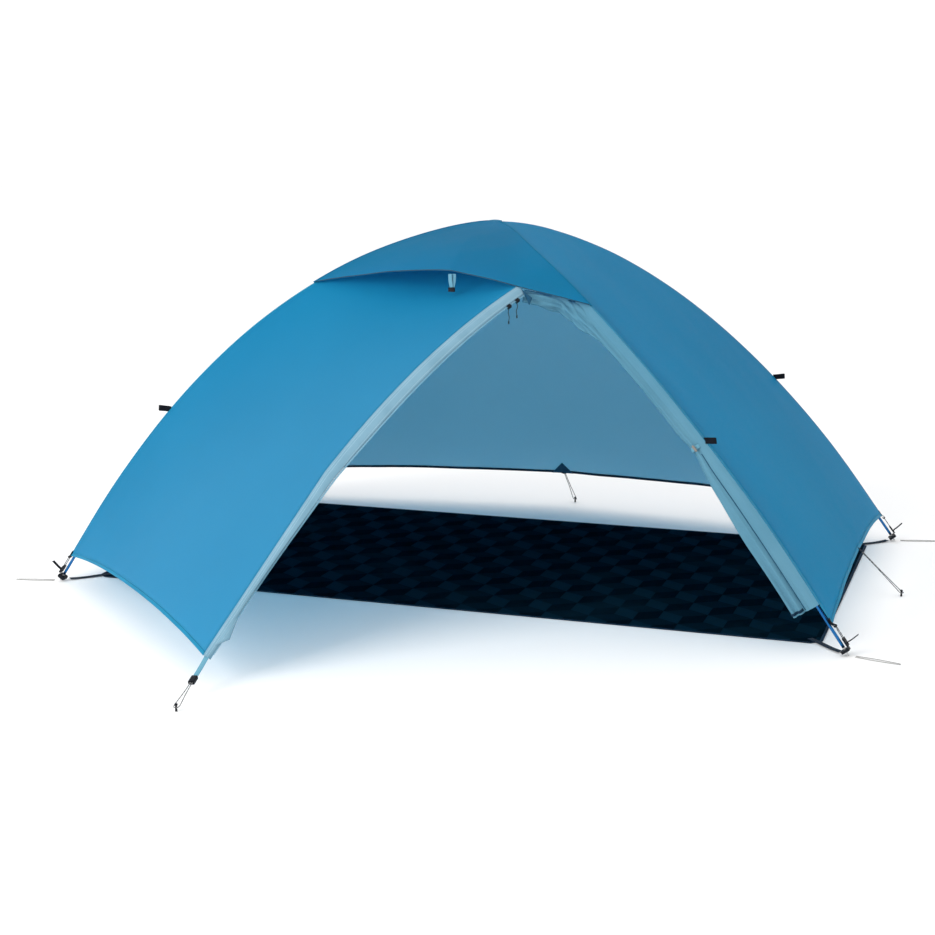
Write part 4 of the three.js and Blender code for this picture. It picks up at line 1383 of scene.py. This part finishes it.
def make_door_edges(finishes):
    """The door's navy hem at the roll's open end, and a navy strip down the roll beside its fold, which is
    painted shade along the fold line.
    """
    reaches = np.linspace(ROLL_TIE_REACH + 0.012, ROLL_HEM_REACH - 0.002, 90)
    lines = [(roll_point(reach, ROLL_RADIUS, 1.12), roll_frame(reach)) for reach in reaches]
    line = np.array([point + frame_at[2] * 0.0012 for point, frame_at in lines])
    sides = np.array([frame_at[3] for _, frame_at in lines])
    # A navy strip just outside the roll beside its fold: painted shade of the fold line.
    edge = sweep("door_fold_shade_strip", line, sides, flat_section(0.0026, 0.0008), [finishes["patch"]])
    piece(edge, "tent", "navy_webbing")
    turns = np.linspace(1.35, 3.6, 60)
    _, along, _, _ = roll_frame(ROLL_HEM_REACH)
    hem = roll_point(ROLL_HEM_REACH - 0.004, ROLL_RADIUS * 1.05, turns)
    tape = sweep("door_hem_tape", hem, along, flat_section(0.008, 0.0016), [finishes["navy_tape"]])
    piece(tape, "tent", "navy_webbing")


def make_door_gather(finishes):
    """The door's narrow top, gathered in folds from the top of the zip to where the roll starts."""
    end_reach = ROLL_TOP_REACH + 0.10
    top = on_zip(0) + vec(0.016, 0.016, -0.028)
    end = roll_frame(end_reach)[0]
    start_of_roll = roll_frame(ROLL_TOP_REACH)[0]
    half_way = (top + start_of_roll) / 2 + vec(-0.004, 0, 0.002)
    path = smooth_line([top, half_way, start_of_roll + vec(-0.012, 0, -0.006), end], 70)
    tangents = line_tangents(path)
    rings = []
    for k, (point, tangent) in enumerate(zip(path, tangents)):
        share = k / (len(path) - 1)
        across = unit(np.cross(UP, tangent))
        away = np.cross(tangent, across)
        size = 0.010 + 0.012 * math.sin(math.pi * min(share * 0.62 + 0.1, 1))
        size *= 1 - 0.55 * float(smoothstep(share, 0.55, 1.0))
        ring = []
        for turn in np.linspace(0, 2 * math.pi, 72, endpoint=False):
            folds = 1 + 0.16 * math.sin(5 * turn + 9 * share) + 0.09 * math.sin(9 * turn - 16 * share)
            sideways = across * size * folds * math.cos(turn)
            ring.append(point + sideways + away * 1.1 * size * folds * math.sin(turn))
        rings.append(ring)
    gather = ring_object("door_gather", rings, [finishes["door"]])
    piece(gather, "tent", "light_fabric")


def make_door_tie(finishes):
    """The webbing band round the roll."""
    centre, along, facing, wide = roll_frame(ROLL_TIE_REACH)
    rings = []
    outer = TIE_RADIUS + 0.0044
    inner = TIE_RADIUS + 0.0032
    section = []
    for turn in np.linspace(0, 2 * math.pi, 12, endpoint=False):
        across = 0.006 * math.cos(turn)
        section.append(((outer + inner) / 2 + (outer - inner) / 2 * math.sin(turn), across))
    for turn in np.linspace(0, 2 * math.pi, 48, endpoint=False):
        way = wide * math.cos(turn) + facing * math.sin(turn)
        rings.append([centre + way * radius + along * across for radius, across in section])
    band = ring_object("door_tie_band", rings, [finishes["pale_webbing"]], closed_run=True)
    piece(band, "tent", "navy_webbing", "door_tie")


def make_toggle(finishes):
    """A turned barrel toggle with a waist for its cord."""
    low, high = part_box("door_toggle")
    middle = np.array((low + high) / 2)
    along = roll_frame(ROLL_TIE_REACH)[1]
    half = 0.0105
    profile = []
    for t in np.linspace(-1, 1, 25):
        waist = 0.0009 * math.exp(-((t / 0.16) ** 2))
        profile.append((0.0041 * math.sqrt(max(1 - abs(t) ** 2.6, 0)) - waist, t * half))
    profile = [(max(radius, 0.0003), height) for radius, height in profile]
    toggle = lathe("barrel_toggle", middle, along, profile, [finishes["grey"]])
    piece(toggle, "door_toggle", "grey_plastic", "door_toggle")


# ---------------------------------------------------------------- poles and corner hardware

def make_poles(finishes):
    """Each pole is five tubes with a sleeve over each joint, over a shock cord."""
    for side, line in POLE_LINES.items():
        path = evenly(line, 240)
        tangents = line_tangents(path)
        outer, inner = [], []
        for point, tangent in zip(path, tangents):
            across = unit(np.cross(tangent, UP))
            away = np.cross(tangent, across)
            outer.append([point + across * a + away * b for a, b in round_section(POLE_RADIUS, 16)])
            inner.append([point + across * a + away * b for a, b in round_section(POLE_BORE, 16)])
        tube = ring_object(f"pole_tube_{side}", outer + inner[::-1], [finishes["pole"]], closed_run=True)
        piece(tube, "tent", "pole_tube", f"pole_{side}")
        sleeves = []
        for joint in (0.2, 0.4, 0.6, 0.8):
            start = int(joint * (len(path) - 1)) - 2
            stretch = evenly(path[start : start + 5], 12)
            sleeves.append(make_sleeve(f"sleeve_{side}", stretch, finishes["ferrule"]))
        piece(joined(f"pole_ferrules_{side}", sleeves), "tent", "pole_tube")
        NODES[f"shock_cord_{side}"].data.materials.clear()
        NODES[f"shock_cord_{side}"].data.materials.append(finishes["elastic"])


def make_sleeve(name, stretch, material):
    tangents = line_tangents(stretch)
    outer, inner = [], []
    last = len(stretch) - 1
    for k, (point, tangent) in enumerate(zip(stretch, tangents)):
        across = unit(np.cross(tangent, UP))
        away = np.cross(tangent, across)
        rolled = 0.00045 if k in (0, last) else 0.0
        outer_radius = POLE_RADIUS + 0.0007 - rolled
        outer.append([point + across * a + away * b for a, b in round_section(outer_radius, 16)])
        inner.append([point + across * a + away * b for a, b in round_section(POLE_RADIUS + 0.00005, 16)])
    return ring_object(name, outer + inner[::-1], [material], closed_run=True)


def make_corner_hardware(finishes):
    """The CAD's tips, feet and buckles in their own materials, and the webbing that joins them."""
    for corner, leg in LEGS.items():
        foot, up, level, away = foot_frame(leg)
        dress(f"pole_tip_{corner}", finishes["tip"], 0.0003)
        dress(f"corner_foot_{corner}", finishes["black"], 0.0012)
        dress(f"corner_buckle_{corner}", finishes["black"], 0.0009)
        standoff = 0.013
        seat = foot + up * 0.027 + away * (standoff + 0.001)
        bar = foot + up * 0.034 + away * (standoff + 0.0045)
        out = unit(away + UP * 0.1)
        tail_path = [seat, bar, bar + out * 0.012, bar + out * 0.034 + UP * 0.002]
        tail = sweep(f"buckle_tail_{corner}", smooth_line(tail_path, 24), level, flat_section(0.012, 0.0014),
                     [finishes["black_webbing"]])
        piece(tail, f"buckle_{corner}", "navy_webbing")
        make_strap(corner, leg, finishes)
        make_fly_corner_loop(corner, leg, finishes)
        make_guyout_loop(corner, leg, finishes)


def dress(name, material, bevel):
    """A CAD node in a better material, with its edges rounded."""
    node = NODES[name]
    node.data.materials.clear()
    node.data.materials.append(material)
    rounded_edges(node, bevel)


def make_strap(corner, leg, finishes):
    """The webbing from the ground sheet's corner, up over the corner foot's lower bar."""
    inset = SHEET_CORNER_CUT / 2
    start = placed((leg[0] * (SHEET_WIDTH / 2 - inset), leg[1] * (SHEET_DEPTH / 2 - inset), 0))
    foot, up, _, _ = foot_frame(leg)
    centre = foot + up * 0.014
    run = vec(centre[0] - start[0], centre[1] - start[1], 0)
    reach = np.linalg.norm(run)
    run = unit(run)
    side = np.cross(run, UP)
    stations = [(-0.030, 0.0030), (0.0, 0.0031), (0.012, 0.0033), (reach * 0.5, 0.0024),
                (reach - 0.024, 0.0045)]
    path = [start + run * distance + UP * height for distance, height in stations]
    strap = sweep(f"webbing_strap_{corner}", smooth_line(path, 40), side, flat_section(0.018, 0.0014),
                  [finishes["webbing"]])
    piece(strap, "tent", "navy_webbing", f"corner_strap_{corner}")


def make_fly_corner_loop(corner, leg, finishes):
    """The folded webbing loop at a flysheet corner that the corner cord runs through."""
    foot, up, level, away = foot_frame(leg)
    end = np.linalg.norm(foot - on_pole(leg, FLY_CORNER_REACH))
    top = ridge(leg, FLY_CORNER_REACH, RIDGE_LIFT)
    bottom = foot + up * (end - 0.0085) + away * 0.013
    under = foot + up * (end - 0.0085) + away * 0.0095
    path = [top + up * 0.020 + away * 0.0012, top + up * 0.004 + away * 0.0012, bottom + away * 0.0034,
            bottom - up * 0.0016 + away * 0.0005, under - up * 0.0006, under + up * 0.006 + away * 0.0002,
            top + up * 0.004 - away * 0.0022, top + up * 0.018 - away * 0.0022]
    loop = sweep(f"fly_corner_loop_{corner}", smooth_line(path, 40), level, flat_section(0.011, 0.001),
                 [finishes["black_webbing"]])
    piece(loop, "tent", "navy_webbing")


def make_guyout_loop(corner, leg, finishes):
    """A folded loop of webbing on each ridge for a storm guy."""
    base = ridge(leg, 0.66, RIDGE_LIFT + 0.001)
    out = unit(vec(leg[0], leg[1] * 0.3, 0.1))
    side = up_leg(leg, 0.66)
    side = unit(side - out * side.dot(out))
    rise_way = np.cross(side, out)
    stations = [(-0.004, 0.0014), (0.014, 0.0010), (0.027, 0.0022), (0.034, 0), (0.027, -0.0022),
                (0.014, -0.0010), (0.001, -0.0014)]
    path = [base + out * distance + rise_way * rise for distance, rise in stations]
    loop = sweep(f"storm_loop_{corner}", smooth_line(path, 40), side, flat_section(0.017, 0.0012),
                 [finishes["black_webbing"]])
    piece(loop, "tent", "navy_webbing", f"guyout_loop_{corner}")


# ---------------------------------------------------------------- tie-outs, pegs and the tip

def make_pegs(finishes):
    """The peg heads: turned, with a neck for the cord and a domed top."""
    for name in PEGS:
        profile = [(0.0005, 0.0), (0.0030, 0.0002), (0.0027, 0.0075), (0.0026, 0.0142), (0.0036, 0.0149),
                   (0.0040, 0.0155), (0.0040, 0.0180), (0.0037, 0.0192), (0.0028, 0.0199), (0.0006, 0.0200)]
        head = lathe(f"peg_head_{name}", placed(PEGS[name]), UP, profile, [finishes["black"]])
        piece(head, "tent", "black_plastic", f"peg_{name}")


def make_tie_outs(panels, finishes):
    """A navy patch inside each hem's middle, and the webbing loop that its guy line is tied to."""
    for name in ("right", "back", "left"):
        points = panels[name]
        middle = points.shape[1] // 2
        normals = sheet_normals(points)
        half = 0.040 if name == "back" else 0.030
        make_patch(name, points, normals, middle, half, finishes)
        edge = points[-1, middle]
        tie_out = placed(TIE_OUTS[name])
        way = unit(tie_out - edge)
        reach = np.linalg.norm(tie_out - edge)
        side = unit(points[-1, middle + 1] - points[-1, middle - 1])
        lift = np.cross(side, way)
        thick = 0.0022
        path = [edge - way * 0.006 + lift * thick, edge + way * reach * 0.6 + lift * thick * 0.8,
                edge + way * (reach + 0.0015), edge + way * reach * 0.6 - lift * thick * 0.8,
                edge - way * 0.006 - lift * thick]
        loop = sweep(f"tie_out_{name}", smooth_line(path, 36), side, flat_section(0.010, 0.001),
                     [finishes["webbing"]])
        piece(loop, "tent", "navy_webbing")


def make_patch(name, points, normals, middle, half, finishes):
    """A triangle of navy cloth sewn inside the hem, with its point up."""
    edge = points[-1]
    run = level_of(edge)
    height = half * 1.1
    up_line = points[::-1, middle]
    up_run = level_of(up_line)
    grid = []
    for step in np.linspace(0, 1, 9):
        across = []
        for share in np.linspace(-1, 1, 9):
            place = run[middle] + share * half * (1 - step)
            base = along_line(place, run, edge)
            rise = along_line(height * step, up_run, up_line)
            across.append(base + rise - up_line[0] - normals[-1, middle] * 0.0022)
        grid.append(across)
    patch = sheet_object(f"hem_patch_{name}", np.array(grid), [finishes["patch"]], 0.0006, 0.0)
    piece(patch, "tent", "navy_webbing")


def make_tip(finishes):
    """The pale webbing at the vestibule's tip, and the lock on its guy line."""
    start = beside_zip(1, flap_width(1) / 2) - zip_tangent(1) * 0.004
    end = placed(TIE_OUTS["vestibule"])
    run = end - start
    side = SIDEWAYS - run * SIDEWAYS.dot(run) / run.dot(run)
    away = unit(np.cross(unit(side), unit(run)))
    middle = (start + end) / 2 + away * 0.0008
    strap = sweep("tip_strap", smooth_line([start, middle, end], 24), side, flat_section(0.014, 0.0014),
                  [finishes["pale_webbing"]])
    piece(strap, "tent", "light_fabric", "vestibule_strap")
    dress("line_lock", finishes["black"], 0.0009)


# ---------------------------------------------------------------- the ground sheet

def make_ground_sheet(finishes):
    """Laid flat and pulled taut at its corners, with faint creases from folding."""
    rows, columns = 90, 170
    xs = np.linspace(-SHEET_WIDTH / 2, SHEET_WIDTH / 2, columns)
    ys = np.linspace(-SHEET_DEPTH / 2, SHEET_DEPTH / 2, rows)
    vertices, uvs = [], []
    for y in ys:
        for x in xs:
            over = abs(x) + abs(y) - (SHEET_WIDTH / 2 + SHEET_DEPTH / 2 - SHEET_CORNER_CUT)
            cut = max(over, 0) / 2
            px = x - math.copysign(cut, x)
            py = y - math.copysign(cut, y)
            vertices.append(placed((px, py, sheet_height(px, py))))
            uvs.append((x, y))
    faces = [face[::-1] for face in grid_faces(rows, columns)]
    sheet = new_object("ground_cloth", vertices, faces, [finishes["sheet"]], uvs)
    thicken(sheet, 0.0004)
    piece(sheet, "tent", "ground_sheet", "ground_sheet")
    make_sheet_binding(finishes)


def sheet_height(x, y):
    """Height of the cloth over the ground: nearly flat, a little raised along old folds."""
    edge = min(SHEET_WIDTH / 2 - abs(x), SHEET_DEPTH / 2 - abs(y))
    inner = float(smoothstep(edge, 0.0, 0.08))
    folds = 0.0
    for place in (-0.56, 0.0, 0.56):
        folds += 0.0009 * math.exp(-(((x - place) / 0.010) ** 2))
    folds += 0.0009 * math.exp(-((y / 0.010) ** 2))
    waves = 0.0012 * noise.noise(Vector((x * 5, y * 7, 0.4)))
    waves += 0.0006 * noise.noise(Vector((x * 17, y * 21, 2.4)))
    return 0.0010 + inner * (0.0008 + folds + max(waves, -0.0006))


def make_sheet_binding(finishes):
    """Navy tape folded round the ground sheet's edge."""
    x = SHEET_WIDTH / 2 - 0.002
    y = SHEET_DEPTH / 2 - 0.002
    cut = SHEET_CORNER_CUT
    corners = [(x, -y + cut), (x, y - cut), (x - cut, y), (-x + cut, y), (-x, y - cut), (-x, -y + cut),
               (-x + cut, -y), (x - cut, -y)]
    path = []
    for k, (px, py) in enumerate(corners):
        nx, ny = corners[(k + 1) % len(corners)]
        length = math.hypot(nx - px, ny - py)
        count = max(3, int(length / 0.02))
        for step in range(count):
            share = step / count
            path.append(placed((px + (nx - px) * share, py + (ny - py) * share, 0.0010)))
    path = np.array(path)
    sides = np.cross(line_tangents(path, closed=True), UP)
    tape = sweep("ground_binding", path, sides, flat_section(0.009, 0.0017), [finishes["navy_tape"]],
                 closed=True)
    piece(tape, "tent", "navy_webbing")


# ---------------------------------------------------------------- everything

def dress_sliders(finishes):
    for level in ("upper", "lower"):
        dress(f"zip_slider_{level}", finishes["black"], 0.0005)
    dress("vent_strut_end", finishes["black"], 0.0009)


def build():
    make_camera()
    make_studio()
    make_floor()
    finishes = make_finishes()
    finishes["hem"] = (finishes["seam"], finishes["navy_tape"])
    make_guys(finishes)
    make_corner_cords(finishes)
    panels = make_panels()
    make_shell(panels, finishes)
    brow_points = make_brow(finishes)
    make_ridge_seams(panels, finishes)
    make_brow_seams(brow_points, panels, finishes)
    make_hems(panels, brow_points, finishes)
    make_front_ridge_edge(panels, finishes)
    make_crown_patch(finishes)
    make_zip_flap(finishes)
    make_band_tip(finishes)
    make_zip_cover(finishes)
    make_pulls(finishes)
    make_strut(finishes)
    dress_sliders(finishes)
    make_door_roll(finishes)
    make_door_gather(finishes)
    make_door_tie(finishes)
    make_toggle(finishes)
    make_poles(finishes)
    make_corner_hardware(finishes)
    make_pegs(finishes)
    make_tie_outs(panels, finishes)
    make_tip(finishes)
    make_ground_sheet(finishes)


build()
